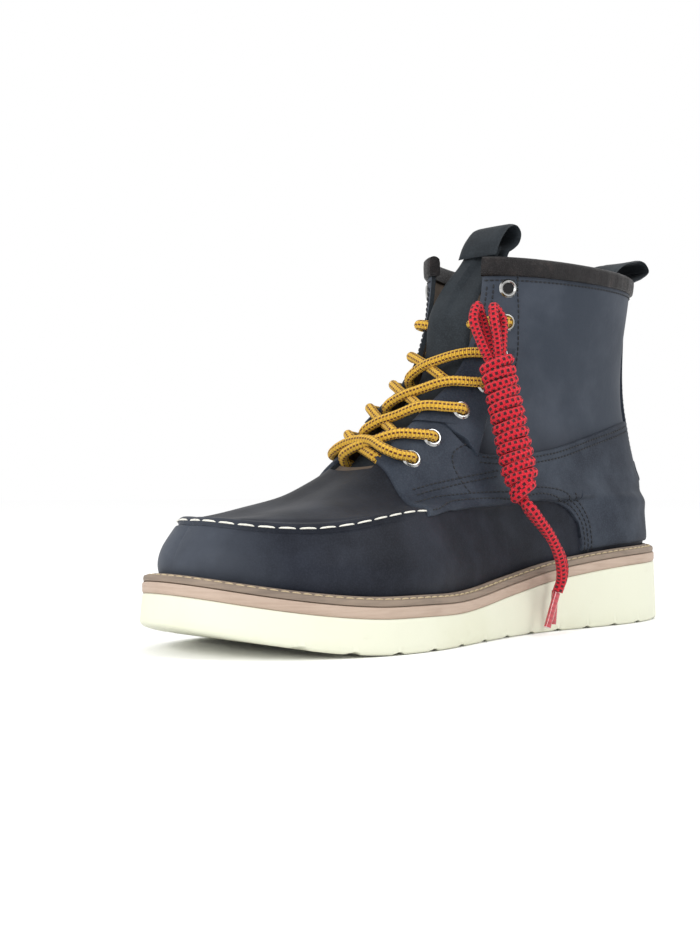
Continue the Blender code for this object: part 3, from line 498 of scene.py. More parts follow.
# %% Shader arithmetic
class Wave:
    """A shader value with arithmetic."""

    def __init__(self, shade, socket):
        self.shade, self.socket = shade, socket

    def _math(self, kind, first, second=0.0):
        return self.shade.node("ShaderNodeMath", {"operation": kind}, (first, second))

    def __add__(self, other):
        return self._math("ADD", self, other)

    def __radd__(self, other):
        return self._math("ADD", other, self)

    def __sub__(self, other):
        return self._math("SUBTRACT", self, other)

    def __rsub__(self, other):
        return self._math("SUBTRACT", other, self)

    def __mul__(self, other):
        return self._math("MULTIPLY", self, other)

    def __rmul__(self, other):
        return self._math("MULTIPLY", other, self)

    def __truediv__(self, other):
        return self._math("DIVIDE", self, other)

    def __rtruediv__(self, other):
        return self._math("DIVIDE", other, self)

    def __gt__(self, other):
        return self._math("GREATER_THAN", self, other)

    def wave(self):
        return self._math("SINE", self)

    def fraction(self):
        return self._math("FRACT", self)

    def size(self):
        return self._math("ABSOLUTE", self)

    def step(self, low, high):
        """0 under low, 1 over high, smooth between them."""
        settings = {"interpolation_type": "SMOOTHSTEP"}
        return self.shade.node("ShaderNodeMapRange", settings, (self, low, high))


class Shade:
    """One material, its shader and the nodes that feed it."""

    def __init__(self, name, colour, roughness, **constants):
        self.material = bpy.data.materials.new(name)
        self.material.use_nodes = True
        self.tree = self.material.node_tree
        self.shader = self.tree.nodes["Principled BSDF"]
        self.shader.inputs["Base Color"].default_value = (*colour, 1)
        self.shader.inputs["Roughness"].default_value = roughness
        for key, value in constants.items():
            self.shader.inputs[key.replace("_", " ")].default_value = value

    def put(self, slot, value):
        """Links a wave to a socket, or sets the socket's value."""
        if isinstance(value, Wave):
            self.tree.links.new(value.socket, slot)
        elif isinstance(value, tuple) and len(value) == 3 and slot.type == "RGBA":
            slot.default_value = (*value, 1)
        else:
            slot.default_value = value

    def node(self, kind, settings=None, inputs=(), output=0, **named):
        """Any node, from its type, its settings, and inputs in order, by number or by name."""
        made = self.tree.nodes.new(kind)
        for key, value in (settings or {}).items():
            setattr(made, key, value)
        for number, value in inputs.items() if isinstance(inputs, dict) else enumerate(inputs):
            self.put(made.inputs[number], value)
        for key, value in named.items():
            self.put(made.inputs[key.replace("_", " ")], value)
        return Wave(self, made.outputs[output])

    def spot(self):
        return self.node("ShaderNodeTexCoord", output=3)

    def noise(self, scale, detail=3.0, vector=None):
        where = vector or self.spot()
        return self.node("ShaderNodeTexNoise", Vector=where, Scale=scale, Detail=detail, Roughness=0.55)

    def stretched(self, scale):
        return self.node("ShaderNodeMapping", Vector=self.spot(), Scale=scale)

    def mix(self, factor, first, second):
        return self.node("ShaderNodeMix", {"data_type": "RGBA"}, {0: factor, 6: first, 7: second}, output=2)

    def lay(self):
        where = self.node("ShaderNodeUVMap", {"uv_map": "lay"})
        return [self.node("ShaderNodeSeparateXYZ", inputs=(where,), output=k) for k in (0, 1)]

    def colour(self, value):
        self.put(self.shader.inputs["Base Color"], value)

    def rough(self, value):
        self.put(self.shader.inputs["Roughness"], value)

    def bump(self, height, distance, strength=1.0):
        made = self.node("ShaderNodeBump", Strength=strength, Distance=distance, Height=height)
        self.put(self.shader.inputs["Normal"], made)


print("a class for values and one for materials")


# %% [markdown]
# ## Leather, rubber, cord, thread and metal
#
# Each finish starts from the colours that the photograph shows and breaks them up with clouds, scuffs and a
# fine grain. The leather also changes from place to place: paler up the shaft, with painted shade on the
# toe's plug, which faces the lights from above, and a painted highlight on the toe.


# %% The finishes
def srgb(r, g, b):
    """A colour from the values that a picture shows."""
    return tuple((v / 255 / 12.92) if v <= 10 else ((v / 255 + 0.055) / 1.055) ** 2.4 for v in (r, g, b))


def leather(name, dark, light, nap=1.0, gloss=0.62, tone_and_highlight=()):
    """Waxed nubuck: clouds where the wax lies thin, a fine nap, a few pale scuffs and soft grain."""
    shade = Shade(name, dark, gloss, Sheen_Weight=0.02, Specular_IOR_Level=0.14)
    clouds = shade.noise(22.0, 5.0).step(0.36, 0.68)
    patches = shade.noise(70.0, 4.0).step(0.40, 0.72)
    fine = shade.noise(1400.0, 2.0)
    base = shade.mix(clouds * 0.55 + patches * 0.30, dark, light)
    if tone_and_highlight:
        ahead, up = (shade.node("ShaderNodeSeparateXYZ", inputs=(shade.spot(),), output=k) for k in (1, 2))
        shaft = up.step(0.078, 0.105)
        # plug marks the toe's plug, which faces up to the lights; painted shade darkens it below.
        plug = up.step(0.056, 0.068) * ahead.step(0.000, 0.045)
        # toe marks where a painted highlight lightens the front of the toe.
        toe = ahead.step(0.122, 0.152) * (1 - up.step(0.050, 0.064))
        # The shaft's own paler tone, mixed from the two given colours.
        base = shade.mix(shaft * (1 - plug) * 0.85, base, shade.mix(clouds * 0.5, *tone_and_highlight))
        # Painted shade: the plug, lit from above, is mixed towards a darker copy of the dark colour.
        base = shade.mix(plug * 0.60, base, tuple(v * 0.35 for v in dark))
        # Painted highlight: the toe is mixed towards the paler colour where the light falls on it.
        base = shade.mix(toe * (0.50 + clouds * 0.40), base, tone_and_highlight[1])
    pale = tuple(min(1.0, v * 1.9 + 0.01) for v in light)
    scuffs = shade.noise(160.0, 6.0, shade.stretched((1.0, 0.35, 1.0))).step(0.66, 0.80)
    shade.colour(shade.mix(fine.step(0.35, 0.75) * 0.16 * nap + scuffs * 0.12, base, pale))
    shade.rough(gloss - clouds * 0.10 + fine * 0.10)
    grain = shade.noise(520.0, 4.0)
    wrinkle = shade.noise(60.0, 3.0)
    shade.bump(fine * 0.25 + grain * 0.55 + wrinkle * 1.2, 0.00022, 0.55)
    return shade.material


# The shaft's paler tone; its second colour is also the painted highlight on the toe.
SHAFT_TONE_AND_TOE_HIGHLIGHT = (srgb(48, 55, 65), srgb(76, 82, 92))
NUBUCK = leather("nubuck", srgb(13, 16, 24), srgb(37, 41, 51), gloss=0.54, tone_and_highlight=SHAFT_TONE_AND_TOE_HIGHLIGHT)
NUBUCK_SHAFT = leather("nubuck_shaft", srgb(27, 32, 42), srgb(57, 64, 74), gloss=0.58)
NUBUCK_SOFT = leather("nubuck_soft", srgb(22, 26, 30), srgb(44, 50, 55), nap=1.3, gloss=0.66)
LINING = leather("lining", srgb(70, 60, 52), srgb(104, 92, 80), nap=0.6, gloss=0.7)


def binding_finish():
    shade = Shade("binding", srgb(24, 20, 20), 0.42, Specular_IOR_Level=0.22)
    edges = {"feature": "DISTANCE_TO_EDGE"}
    cells = shade.node("ShaderNodeTexVoronoi", edges, Vector=shade.spot(), Scale=900.0)
    wear = shade.noise(130.0, 5.0).step(0.5, 0.75)
    shade.colour(shade.mix(wear * 0.5, srgb(18, 15, 16), srgb(56, 48, 46)))
    shade.rough(0.38 + cells.step(0.0, 0.2) * 0.14)
    shade.bump(cells.step(0.0, 0.25), 0.00025, 0.6)
    return shade.material


def rubber_finish():
    shade = Shade("crepe", srgb(243, 243, 228), 0.58, Specular_IOR_Level=0.4)
    stain = shade.noise(16.0, 5.0).step(0.42, 0.75)
    marks = shade.noise(240.0, 5.0, shade.stretched((0.4, 0.4, 1.0))).step(0.62, 0.80)
    body = shade.mix(stain * 0.55, srgb(211, 212, 193), srgb(203, 203, 178))
    shade.colour(shade.mix(marks * 0.16, body, srgb(186, 178, 150)))
    shade.rough(0.52 + stain * 0.12)
    shade.bump(shade.noise(900.0, 4.0) + marks * 0.6, 0.00012, 0.5)
    return shade.material


def tan_finish(name, pale, deep):
    shade = Shade(name, pale, 0.66)
    lines = shade.noise(420.0, 3.0, shade.stretched((0.15, 0.15, 2.2)))
    blots = shade.noise(45.0, 4.0).step(0.4, 0.7)
    shade.colour(shade.mix(lines.step(0.35, 0.7) * 0.4 + blots * 0.35, pale, deep))
    shade.rough(0.60 + lines * 0.15)
    shade.bump(lines, 0.0003, 0.6)
    return shade.material


def thread_finish(name, colour):
    shade = Shade(name, colour, 0.75)
    fibres = shade.noise(1500.0, 2.0).step(0.4, 0.7)
    shade.colour(shade.mix(fibres * 0.5, colour, tuple(v * 0.6 for v in colour)))
    shade.bump(shade.noise(2600.0, 2.0), 0.0002, 0.6)
    return shade.material


def braid(name, main, fleck, second, pitch, rows, bands):
    """A round braid: checks of a second colour in rows along it, and bands of a third between them."""
    shade = Shade(name, main, 0.80, Sheen_Weight=0.1, Specular_IOR_Level=0.25)
    along, round_way = shade.lay()
    turn = 2 * math.pi
    u = along / pitch
    v = round_way * rows
    plait = ((u + v * 2) * turn).wave() * ((u - v * 2) * turn).wave()
    row = (v.fraction() - 0.5).size()
    odd = ((v * 0.5).fraction() - 0.5) > 0.0
    check = ((u + odd * 0.5).fraction() - 0.5).size().step(0.19, 0.27) * (1 - row.step(0.24, 0.36))
    base = shade.mix(plait.step(-0.5, 0.7) * 0.5, main, second)
    band = row.step(0.25, 0.37) * bands
    ticked = shade.mix(band * (1 - 0.75 * (u * turn).wave().step(0.0, 0.7)), base, fleck)
    shade.colour(shade.mix(check * (1 - bands * 0.75), ticked, fleck))
    shade.bump(plait + shade.noise(2500.0, 2.0) * 0.3, 0.0005, 0.9)
    return shade.material


BINDING = binding_finish()
CREPE = rubber_finish()
MIDSOLE = tan_finish("midsole_tan", srgb(176, 156, 140), srgb(156, 135, 119))
WELT = tan_finish("welt_tan", srgb(134, 118, 103), srgb(100, 88, 78))
SOCK = tan_finish("insole_tan", srgb(150, 118, 88), srgb(118, 92, 68))
THREAD = thread_finish("thread_dark", srgb(22, 25, 30))
THREAD_WHITE = thread_finish("thread_white", srgb(226, 224, 214))
THREAD_TAN = thread_finish("thread_tan", srgb(190, 172, 138))
GOLD = braid("lace_gold", srgb(255, 196, 40), srgb(96, 32, 22), srgb(255, 222, 110), 0.0018, 6.0, 1.0)
RED = braid("lace_red", srgb(222, 14, 42), srgb(70, 10, 22), srgb(232, 44, 62), 0.0022, 6.0, 0.0)


def metal_finish():
    shade = Shade("nickel", (0.42, 0.42, 0.41), 0.26, Metallic=1.0)
    haze = shade.noise(500.0, 4.0)
    shade.rough(0.16 + haze * 0.18)
    shade.bump(haze, 0.00005, 0.4)
    return shade.material


def tip_finish():
    shade = Shade("clear_tip", srgb(150, 40, 52), 0.12, Coat_Weight=0.8)
    along = shade.lay()[0]
    threads = (along * 2600.0).wave().step(-0.2, 0.6)
    shade.colour(shade.mix(threads * 0.5, srgb(176, 58, 66), srgb(132, 34, 46)))
    shade.bump(shade.noise(300.0), 0.0001, 0.3)
    return shade.material


NICKEL = metal_finish()
TIP = tip_finish()
print("finishes:", len(bpy.data.materials))

# %% [markdown]
# ## Camera, light and floor
#
# The camera stands low and near, in front of the outer side, as a shop photograph of a pair is taken. The
# light is a large soft box over the toe and a second one over the heel, on a pale floor.

# %% Camera and lights
CAMERA_ANGLE = math.radians(46)
CAMERA_FAR = 676 * MM
CAMERA_HIGH = 70 * MM
FOCAL = 1402
AIM_ACROSS, AIM_UP = -83, 20.5
TALL = 933
SENSOR = 36
LENS_TRIM = 0.995
LOOK_AT_ALONG = 150 * MM

back = np.array([-math.cos(CAMERA_ANGLE), math.sin(CAMERA_ANGLE), 0.0])
right = np.array([-math.sin(CAMERA_ANGLE), -math.cos(CAMERA_ANGLE), 0.0])
stand = np.array([0, LOOK_AT_ALONG, CAMERA_HIGH]) + back * CAMERA_FAR + SHIFT
look = -back + right * AIM_ACROSS / FOCAL + np.array([0, 0, 1]) * AIM_UP / FOCAL
camera = bpy.data.objects.new("camera", bpy.data.cameras.new("camera"))
camera.data.lens = FOCAL * SENSOR / TALL * LENS_TRIM
camera.data.sensor_width = SENSOR
camera.data.clip_start = 0.01
camera.location = stand
camera.rotation_euler = Vector(look).to_track_quat("-Z", "Y").to_euler()
bpy.context.scene.collection.objects.link(camera)
bpy.context.scene.camera = camera


def soft_box(name, place_at, aim, size, power):
    light = bpy.data.objects.new(name, bpy.data.lights.new(name, "AREA"))
    light.data.shape = "RECTANGLE"
    light.data.size, light.data.size_y = size
    light.data.energy = power
    light.location = place_at
    light.rotation_euler = (Vector(aim) - Vector(place_at)).to_track_quat("-Z", "Y").to_euler()
    bpy.context.scene.collection.objects.link(light)


SOFT_BOXES = (
    # name, place, aim, size, power
    ("key", (-0.15, 1.30, 0.62), (0, 0.08, 0.07), (0.7, 0.6), 9.0),
    ("side", (-1.25, -0.45, 1.0), (0, -0.06, 0.11), (0.8, 0.8), 8.5),
    ("top", (0.15, -0.35, 1.5), (0, 0, 0.1), (1.1, 1.1), 1.6),
)
for row in SOFT_BOXES:
    soft_box(*row)
world = bpy.data.worlds.new("studio")
world.use_nodes = True
sky = world.node_tree.nodes["Background"].inputs
sky["Color"].default_value = (1, 1, 1, 1)
sky["Strength"].default_value = 1.0
bpy.context.scene.world = world
bpy.context.scene.view_settings.view_transform = "Standard"

FLOOR_REACH = 6.0
corners = [(x * FLOOR_REACH, y * FLOOR_REACH, 0) for x, y in ((-1, -1), (1, -1), (1, 1), (-1, 1))]
floor_mesh = bpy.data.meshes.new("floor")
floor_mesh.from_pydata(corners, [], [(0, 1, 2, 3)])
floor = bpy.data.objects.new("floor", floor_mesh)
floor_shade = Shade("floor_white", (0.99, 0.99, 0.99), 0.9, Specular_IOR_Level=0.0)
floor_mesh.materials.append(floor_shade.material)
bpy.context.scene.collection.objects.link(floor)
print("camera, m:", np.round(stand, 3), "and", len(SOFT_BOXES), "soft boxes")

# %% [markdown]
# ## The spare lace
#
# A second lace is folded into two loops that hang over the lace of the second row, wound round itself from
# the top down, and tied off. Its two ends fall beside the sole and finish in clear tips. It is two cords:
# one makes the loops and the first end, and the other is the winding and the second end.

# %% The spare lace's route
HANK_TOP = (-31.5, 147.1, 154.0)
HANK_BOTTOM = (-49.7, 139.7, 63.0)
SPARE_END_A = (
    (-47.0, 136.2, 62.6),
    (-47.1, 135.4, 60.0),
    (-47.1, 131.0, 56.0),
    (-47.6, 124.5, 50.5),
    (-48.0, 117.8, 44.0),
    (-47.8, 112.0, 38.0),
    (-47.2, 108.8, 32.0),
    (-46.4, 108.6, 26.0),
    (-45.4, 110.6, 21.0),
)
SPARE_END_B = (
    (-51.6, 138.8, 62.6),
    (-51.9, 138.2, 60.0),
    (-53.2, 134.8, 55.5),
    (-54.2, 129.5, 49.5),
    (-54.3, 123.5, 42.0),
    (-53.0, 118.0, 33.0),
    (-51.5, 116.0, 26.0),
    (-50.5, 117.5, 20.5),
)
SPARE_TIP_A = ((-44.8, 112.2, 20.5), (-44.6, 114.0, 4.5))
SPARE_TIP_B = ((-50.3, 117.8, 20.0), (-49.5, 124.0, 4.0))

top, bottom = np.array(HANK_TOP) * MM, np.array(HANK_BOTTOM) * MM
up_way = (top - bottom) / np.linalg.norm(top - bottom)
away = np.array([-0.72, 0.69, 0.0])
across_way = np.cross(up_way, away)
across_way /= np.linalg.norm(across_way)
away = np.cross(across_way, up_way)


def hank(across, up, out):
    """A point of the hank in millimetres: across it, up from its bottom end, and out from its middle."""
    return bottom + (across_way * across + up_way * up + away * out) * MM


WRAP_LOW, WRAP_HIGH = 11.0, 67.0
WRAP_PITCH = 4.9
WRAP_WIDE, WRAP_DEEP = 6.1, 4.0


def winding():
    """Wraps round the hank, from the top down."""
    turns = (WRAP_HIGH - WRAP_LOW) / WRAP_PITCH
    points = []
    for k in np.linspace(0, turns, int(turns * 28)):
        a = 2 * math.pi * k
        wobble = 0.25 * math.sin(1.7 * a)
        fall = WRAP_HIGH - WRAP_PITCH * k + wobble
        points.append(hank(WRAP_WIDE * math.cos(a), fall, WRAP_DEEP * math.sin(a)))
    return points


def knot_turn():
    """The closing turn at the hank's lower end."""
    points = []
    for k in np.linspace(0.1, 1.6, 40):
        a = 2 * math.pi * k
        fall = 8.5 - 2.6 * k
        points.append(hank(4.2 * math.cos(a), fall + 1.8 * math.cos(a), 3.4 * math.sin(a)))
    return points


wound = winding() + [hank(4.0, 8.6, 1.0)] + knot_turn()
end_b = [np.array(p) * MM for p in SPARE_END_B[1:]]
line_b = smooth_line(np.array(wound + end_b), 1.0 * MM)
LOOP_PAIRS = ((-4.6, -1.6, 95.0), (2.2, 6.0, 93.0))
loops_line = []
for number, (first, second, high) in enumerate(LOOP_PAIRS):
    loops_line += [
        hank(first * 0.30, 50 + number, -0.6),
        hank(first * 0.55, 66, -0.4),
        hank(first * 1.15, 78, 0.8),
        hank(first * 1.35, high - 5, 1.6),
        hank((first + second) / 2, high, -1.2),
        hank(second * 1.2, high - 6, -3.6),
        hank(second * 0.9, 78, -2.8),
        hank(second * 0.4, 66, -1.0),
        hank(second * 0.2, 48 - number, 0.6),
    ]
    if number == 0:
        loops_line += [hank(0.2, 42, 0.9), hank(0.6, 44, 0.3)]
loops_line += [hank(0.4, 30, 0.5), hank(0.1, 16, 0.4), hank(-0.6, 6, -1.2)]
line_a = smooth_line(np.array(loops_line + [np.array(p) * MM for p in SPARE_END_A[1:]]), 1.0 * MM)


def cord(name, line, thick, finish, nodes, slot):
    points, faces, lay = tube(line, thick, 14)
    return piece(name, points, faces, finish, *nodes, slot=slot, uv=lay, angle=60)


def length_of(line):
    return float(far_along(line)[-1])


tips = []
for word, ends in (("a", SPARE_TIP_A), ("b", SPARE_TIP_B)):
    line = smooth_line(np.array(ends) * MM, 1.0 * MM)
    tips.append(cord(f"tip_{word}", line, TIP_THICK, TIP, [f"spare_lace_tip_{word}"], "clear_tip"))
SPARE_CORDS = (
    ("spare_lace_loops", line_a, LOOPS_THICK, ["spare_lace_end_a"]),
    ("spare_lace_winding", line_b, SPARE_THICK, ["spare_lace_end_b", "spare_lace_hank"]),
)
for (name, line, thick, nodes), tip in zip(SPARE_CORDS, tips):
    thing = cord(name, line, thick, RED, nodes, "red_lace")
    tuple(line[0] + SHIFT)
    [tuple(p + SHIFT) for p in line]
    print(thing.name, "length, m", round(length_of(line), 3))

# %% [markdown]
# ## The sole
#
# The wedge is one block of pale blown rubber, thick at the heel and thin under the ball. Round grooves
# cross its tread, and where they run out at the edge they leave small dark lenses. It is built as rings
# round the edge, with enough columns for the grooves to stay crisp. The midsole and the welt are slabs too.

# %% Outsole, midsole and welt
RING = 420
turns = around_of(np.linspace(0, 1, RING))
turns = np.sort(np.concatenate([turns, np.linspace(0, 0.08, 14)[1:-1], np.linspace(0.92, 1, 14)[1:-1]]))
GROOVE_WIDE, GROOVE_DEEP, GROOVE_PITCH = 7 * MM, 1.3 * MM, 21 * MM


def groove(y):
    """How far the tread's grooves cut up at y."""
    away_from = np.abs((np.asarray(y) / GROOVE_PITCH - 0.9 + 0.5) % 1 - 0.5) * GROOVE_PITCH
    inside = (np.asarray(y) > 0.5 * GROOVE_PITCH) & (np.asarray(y) < LENGTH - 0.9 * GROOVE_PITCH)
    share = np.clip(1 - (2 * away_from / GROOVE_WIDE) ** 2, 0, 1)
    return np.where(inside, share * GROOVE_DEEP, 0)


def ring_of(inset, height):
    """One closed line round the sole from heel to toe by the lateral side and back."""
    ring = []
    for side, order in ((LATERAL, turns), (MEDIAL, turns[-2:0:-1])):
        xy = edge(order, side, np.full(len(order), inset))
        ring.append(np.concatenate([xy, height(xy[:, 1])[:, None]], 1))
    return np.concatenate(ring)


def slab(name, lines, finish, node, slot):
    """A closed slab from lines of inset and height, from its foot up."""
    rings = [ring_of(inset, height) for inset, height in lines]
    size = len(rings[0])
    points = list(np.concatenate(rings))
    faces = grid_faces(len(rings), size, closed=True)
    count = len(turns)
    for start, flip in ((0, True), ((len(rings) - 1) * size, False)):
        for j in range(count - 1):
            near, far = start + j, start + (size - j) % size
            quad = list(dict.fromkeys((near, near + 1, start + size - j - 1, far)))
            faces.append(quad[::-1] if flip else quad)
    piece(name, points, faces, finish, node, slot=slot)


def over(base, rows):
    """Lines of a slab from rows of inset and height over a base, in millimetres."""
    return [(inset * MM, lambda y, up=up: base(y) + up * MM) for inset, up in rows]


def wall_height(share):
    return lambda y: underside(y) + share * (sole_top(y) - underside(y))


def foot_height(extra):
    return lambda y: underside(y) + np.maximum(groove(y), extra)


slab(
    "sole_block",
    [
        (9.0 * MM, foot_height(0.0)),
        (1.6 * MM, foot_height(0.0)),
        (0.4 * MM, foot_height(0.25 * MM)),
        (-0.4 * MM, foot_height(0.8 * MM)),
        (-FLARE, foot_height(1.6 * MM)),
        (-0.7 * MM, wall_height(0.3)),
        (-0.3 * MM, wall_height(0.6)),
        (0.0, wall_height(0.9)),
        (0.15 * MM, lambda y: sole_top(y) - 0.5 * MM),
        (0.6 * MM, lambda y: sole_top(y) - 0.05 * MM),
    ],
    CREPE,
    "outsole",
    "white_crepe",
)
thick = MIDSOLE_THICK / MM
side_rows = ((0.9, 0.0), (0.35, 0.5), (0.1, 1.4), (0.1, thick - 1.0), (0.3, thick - 0.3), (1.2, thick))
slab("midsole_slab", over(sole_top, side_rows), MIDSOLE, "midsole", "tan_midsole")
thick = WELT_THICK / MM
foot_rows = ((1.4, 0.1 - thick), (0.7, 0.35 - thick), (0.5, -1.6))
top_rows = ((0.8, -0.5), (1.5, -0.15), (2.6, -0.45), (3.6, -0.05), (4.4, 0.9), (5.4, 0.9), (7.0, -0.4))
slab("welt_strip", over(welt_top, foot_rows + top_rows), WELT, "welt", "tan_welt")
line = ring_of(2.5 * MM, lambda y: welt_top(y) - 0.1 * MM)
line = np.concatenate([line, line[:1]])
normals = np.tile((0.0, 0.0, 1.0), (len(line), 1))
stitches("welt_stitches", [(line, normals)], 4.6 * MM, 3.9 * MM, 1.1 * MM, 0.9 * MM, THREAD_TAN, "tan_welt")
seat, margin = WALL / MM + 2 * CLEAR / MM, EDGE_MARGIN / MM
sock_rows = ((2.05 * margin, seat + 0.2), (2.0 * margin, seat + 3.0), (2.2 * margin, seat + 4))
slab("insole_sock", over(welt_top, sock_rows), SOCK, "insole", "insole_leather")

# %% [markdown]
# ## The upper
#
# The wall is drawn closely enough to hold its own modelling: the lip of the moccasin seam, soft hollows
# where the leather bends at the ankle and over the toes, and a slight fullness at the heel. The plug is
# sewn inside the lip. A lining closes the wall on the inside.

# %% Wall and lining
CREASES = (
    # along (a share of LENGTH), up, length, width, depth (shares of COLLAR_HEIGHT), slope
    (0.50, 0.640, 0.080, 0.020, 0.0042, 0.35),
    (0.43, 0.560, 0.110, 0.024, 0.0036, 0.20),
    (0.30, 0.610, 0.120, 0.030, 0.0034, -0.10),
    (0.62, 0.300, 0.100, 0.035, 0.0030, 1.20),
    (0.70, 0.270, 0.100, 0.040, 0.0026, 1.40),
    (0.17, 0.500, 0.100, 0.030, 0.0030, 0.00),
)
MOC_FORM = (
    # level, spread, out in millimetres: the lip, the trough under it and the dip behind it
    (0.256, 0.0065, 1.25),
    (0.2405, 0.0040, -0.9),
    (0.275, 0.006, -0.5),
)
HEEL_FORM = (
    # height, out, in millimetres
    (38, 0.0),
    (50, -1.7),
    (59, -2.0),
    (64, -0.5),
    (68, 1.3),
    (73, 2.1),
    (80, 1.4),
    (88, 1.2),
    (100, 1.0),
    (112, 0.3),
    (120, 0.0),
)


def relief(points, level, s):
    """How far the wall stands in or out of the plain form."""
    front = np.clip((s - 0.61) / 0.03, 0, 1)
    out = sum(high * MM * np.exp(-(((level - at) / spread) ** 2)) * front for at, spread, high in MOC_FORM)
    for along, up, long, wide, deep, slope in CREASES:
        y = (points[..., 1] - along * LENGTH) / COLLAR_HEIGHT
        z = points[..., 2] / COLLAR_HEIGHT - up
        ahead = (y + slope * z) / math.hypot(1, slope)
        aside = (z - slope * y) / math.hypot(1, slope)
        for depth, offset in ((-deep, 0.0), (0.5 * deep, 2 * wide)):
            fade = np.exp(-((ahead / long) ** 2) - ((aside - offset) / wide) ** 2)
            out = out + depth * COLLAR_HEIGHT * fade
    z = points[..., 2]
    heel = np.array(HEEL_FORM) * MM
    full = through(heel[:, 0], heel[:, 1], z)
    near = np.clip((0.36 - s) / 0.24, 0, 1)
    return out + full * ease(near)


def wall_levels():
    parts = (
        np.linspace(0.05, 0.09, 6),
        np.linspace(0.09, 0.228, 24)[1:],
        np.linspace(0.228, 0.285, 30)[1:],
        np.linspace(0.285, THROAT_LEVEL, 26)[1:],
        np.linspace(THROAT_LEVEL, 1.0, 74)[1:],
    )
    return np.concatenate(parts)


SIDE_COLUMNS, PLUG_COLUMNS = 150, 44
levels = wall_levels()


def wall(name, inside, side_columns, plug_columns, levels, finish, *nodes):
    """The upper's wall, or its lining set inside by the wall's thickness, with the throat left open."""
    rows = []
    for level in levels:
        sides = []
        for side in (MEDIAL, LATERAL):
            turn = throat_turn(level, side)
            front = np.linspace(turn, 1, plug_columns + 1)[1:]
            s = np.concatenate([np.linspace(0, turn, side_columns + 1), front])
            flat, normal = place(level, s, side)
            out = relief(flat, level, s) * (0.6 if inside else 1.0) - inside
            sides.append(flat + normal * out[:, None])
        rows.append(np.concatenate([sides[0][::-1], sides[1][1:]]))
    wide = len(rows[0])
    faces = []
    for r in range(len(levels) - 1):
        for c in range(wide - 1):
            in_throat = c < plug_columns or c >= wide - 1 - plug_columns
            if in_throat and levels[r] >= THROAT_LEVEL - 1e-6:
                continue
            a = r * wide + c
            quad = (a, a + 1, a + 1 + wide, a + wide)
            faces.append(quad[::-1] if inside else quad)
    piece(name, np.concatenate(rows), faces, finish, *nodes, slot="navy_nubuck")


wall("upper_wall", 0.0, SIDE_COLUMNS, PLUG_COLUMNS, levels, NUBUCK, "upper")
wall("lining", WALL, 60, 16, levels[::3], LINING)

# %% [markdown]
# ## Cut edges
#
# Between the wall and its lining the leather's thickness shows along the throat. A narrow strip closes it.

# %% Edges of the throat
cut_levels = np.linspace(THROAT_LEVEL, 1.0, 90)
cut = []
for side in (LATERAL, MEDIAL):
    turn = np.array([throat_turn(level, side) for level in cut_levels])
    outer, normal = place(cut_levels, turn, side)
    cut.append((outer, outer - normal * WALL))
plug_turns = {side: np.linspace(throat_turn(THROAT_LEVEL, side), 1, 40) for side in (LATERAL, MEDIAL)}
for side in (LATERAL, MEDIAL):
    outer, normal = place(THROAT_LEVEL, plug_turns[side], side)
    cut.append((outer, outer - normal * WALL))
points, faces = [], []
for first, second in cut:
    faces += grid_faces(2, len(first), start=len(points))
    points += list(first) + list(second)
piece("facing_edges", points, faces, NUBUCK_SOFT, slot="navy_nubuck")

# %% [markdown]
# ## Panels
#
# The lace quarters lie over the vamp, and a strip covers the back seam. Each is a sheet of leather of its
# own thickness, cut on the form and rolled down at its edge, so it throws the thin line of shade that
# shows where one layer ends.

# %% Quarters and backstay
LAYER = 1.5 * MM
QUARTER_BACK = 0.266
QUARTER_FRONT = 0.652
QUARTER_SEEN = 0.085
QUARTER_LOW = (
    # along, up
    (0.2660, 0.250),
    (0.2685, 0.277),
    (0.2750, 0.299),
    (0.2860, 0.320),
    (0.3020, 0.336),
    (0.3610, 0.356),
    (0.4467, 0.3445),
    (0.4890, 0.343),
    (0.5807, 0.3314),
    (0.6400, 0.3175),
    (0.6600, 0.3150),
)
QUARTER_HIGH = (
    # along, up
    (0.000, 0.592),
    (0.085, 0.580),
    (0.210, 0.535),
    (0.334, 0.489),
    (0.430, 0.474),
    (0.489, 0.478),
    (0.510, 0.492),
    (0.530, 0.525),
    (0.551, 0.580),
    (0.580, 0.640),
    (0.660, 0.640),
)
TAB_REAR = (
    # up, along
    (0.4655, 0.495),
    (0.5115, 0.4822),
    (0.5657, 0.4638),
    (0.6200, 0.4400),
    (0.6900, 0.4100),
    (0.7600, 0.3950),
)
TAB_FRONT = (
    # up, along
    (0.4655, 0.4955),
    (0.5090, 0.5110),
    (0.5280, 0.5310),
    (0.5480, 0.5440),
)
TAB_FOOT, TAB_HEAD, TAB_BEND = 0.4655, 0.760, 0.548
TAB_OVER = 1.1 * MM


def edge_of_throat(side):
    """Points of the skin down the throat's edge."""
    levels = np.linspace(THROAT_LEVEL, 0.85, 50)
    return np.array([place(v, np.array([throat_turn(v, side)]), side)[0][0] for v in levels])


def tab_thick(z):
    """The facing's pointed tab stands over the quarter at its tip and thins out up the shaft."""
    return (LAYER + TAB_OVER) * (1 - np.clip((z / COLLAR_HEIGHT - 0.54) / 0.20, 0, 1) ** 1.5)


def back_marks(side):
    """Levels, turns and heights of a line under the backstay's border."""
    levels = np.linspace(0.085, 0.72, 40)
    turn = np.array([turn_of_width(v, side, BACKSTAY_WIDE / 2 - 3 * MM, front=False) for v in levels])
    return levels, turn, skin(levels, turn, side)[:, 2]


def rolled(count, roll):
    """Shares from 0 to 1 with three close lines at each end for the rolled edge."""
    inner = np.linspace(0, 1, count)[1:-1]
    near = np.array([0.0, roll * 0.15, roll])
    return np.concatenate([near, roll + inner * (1 - 2 * roll), 1 - near[::-1]])


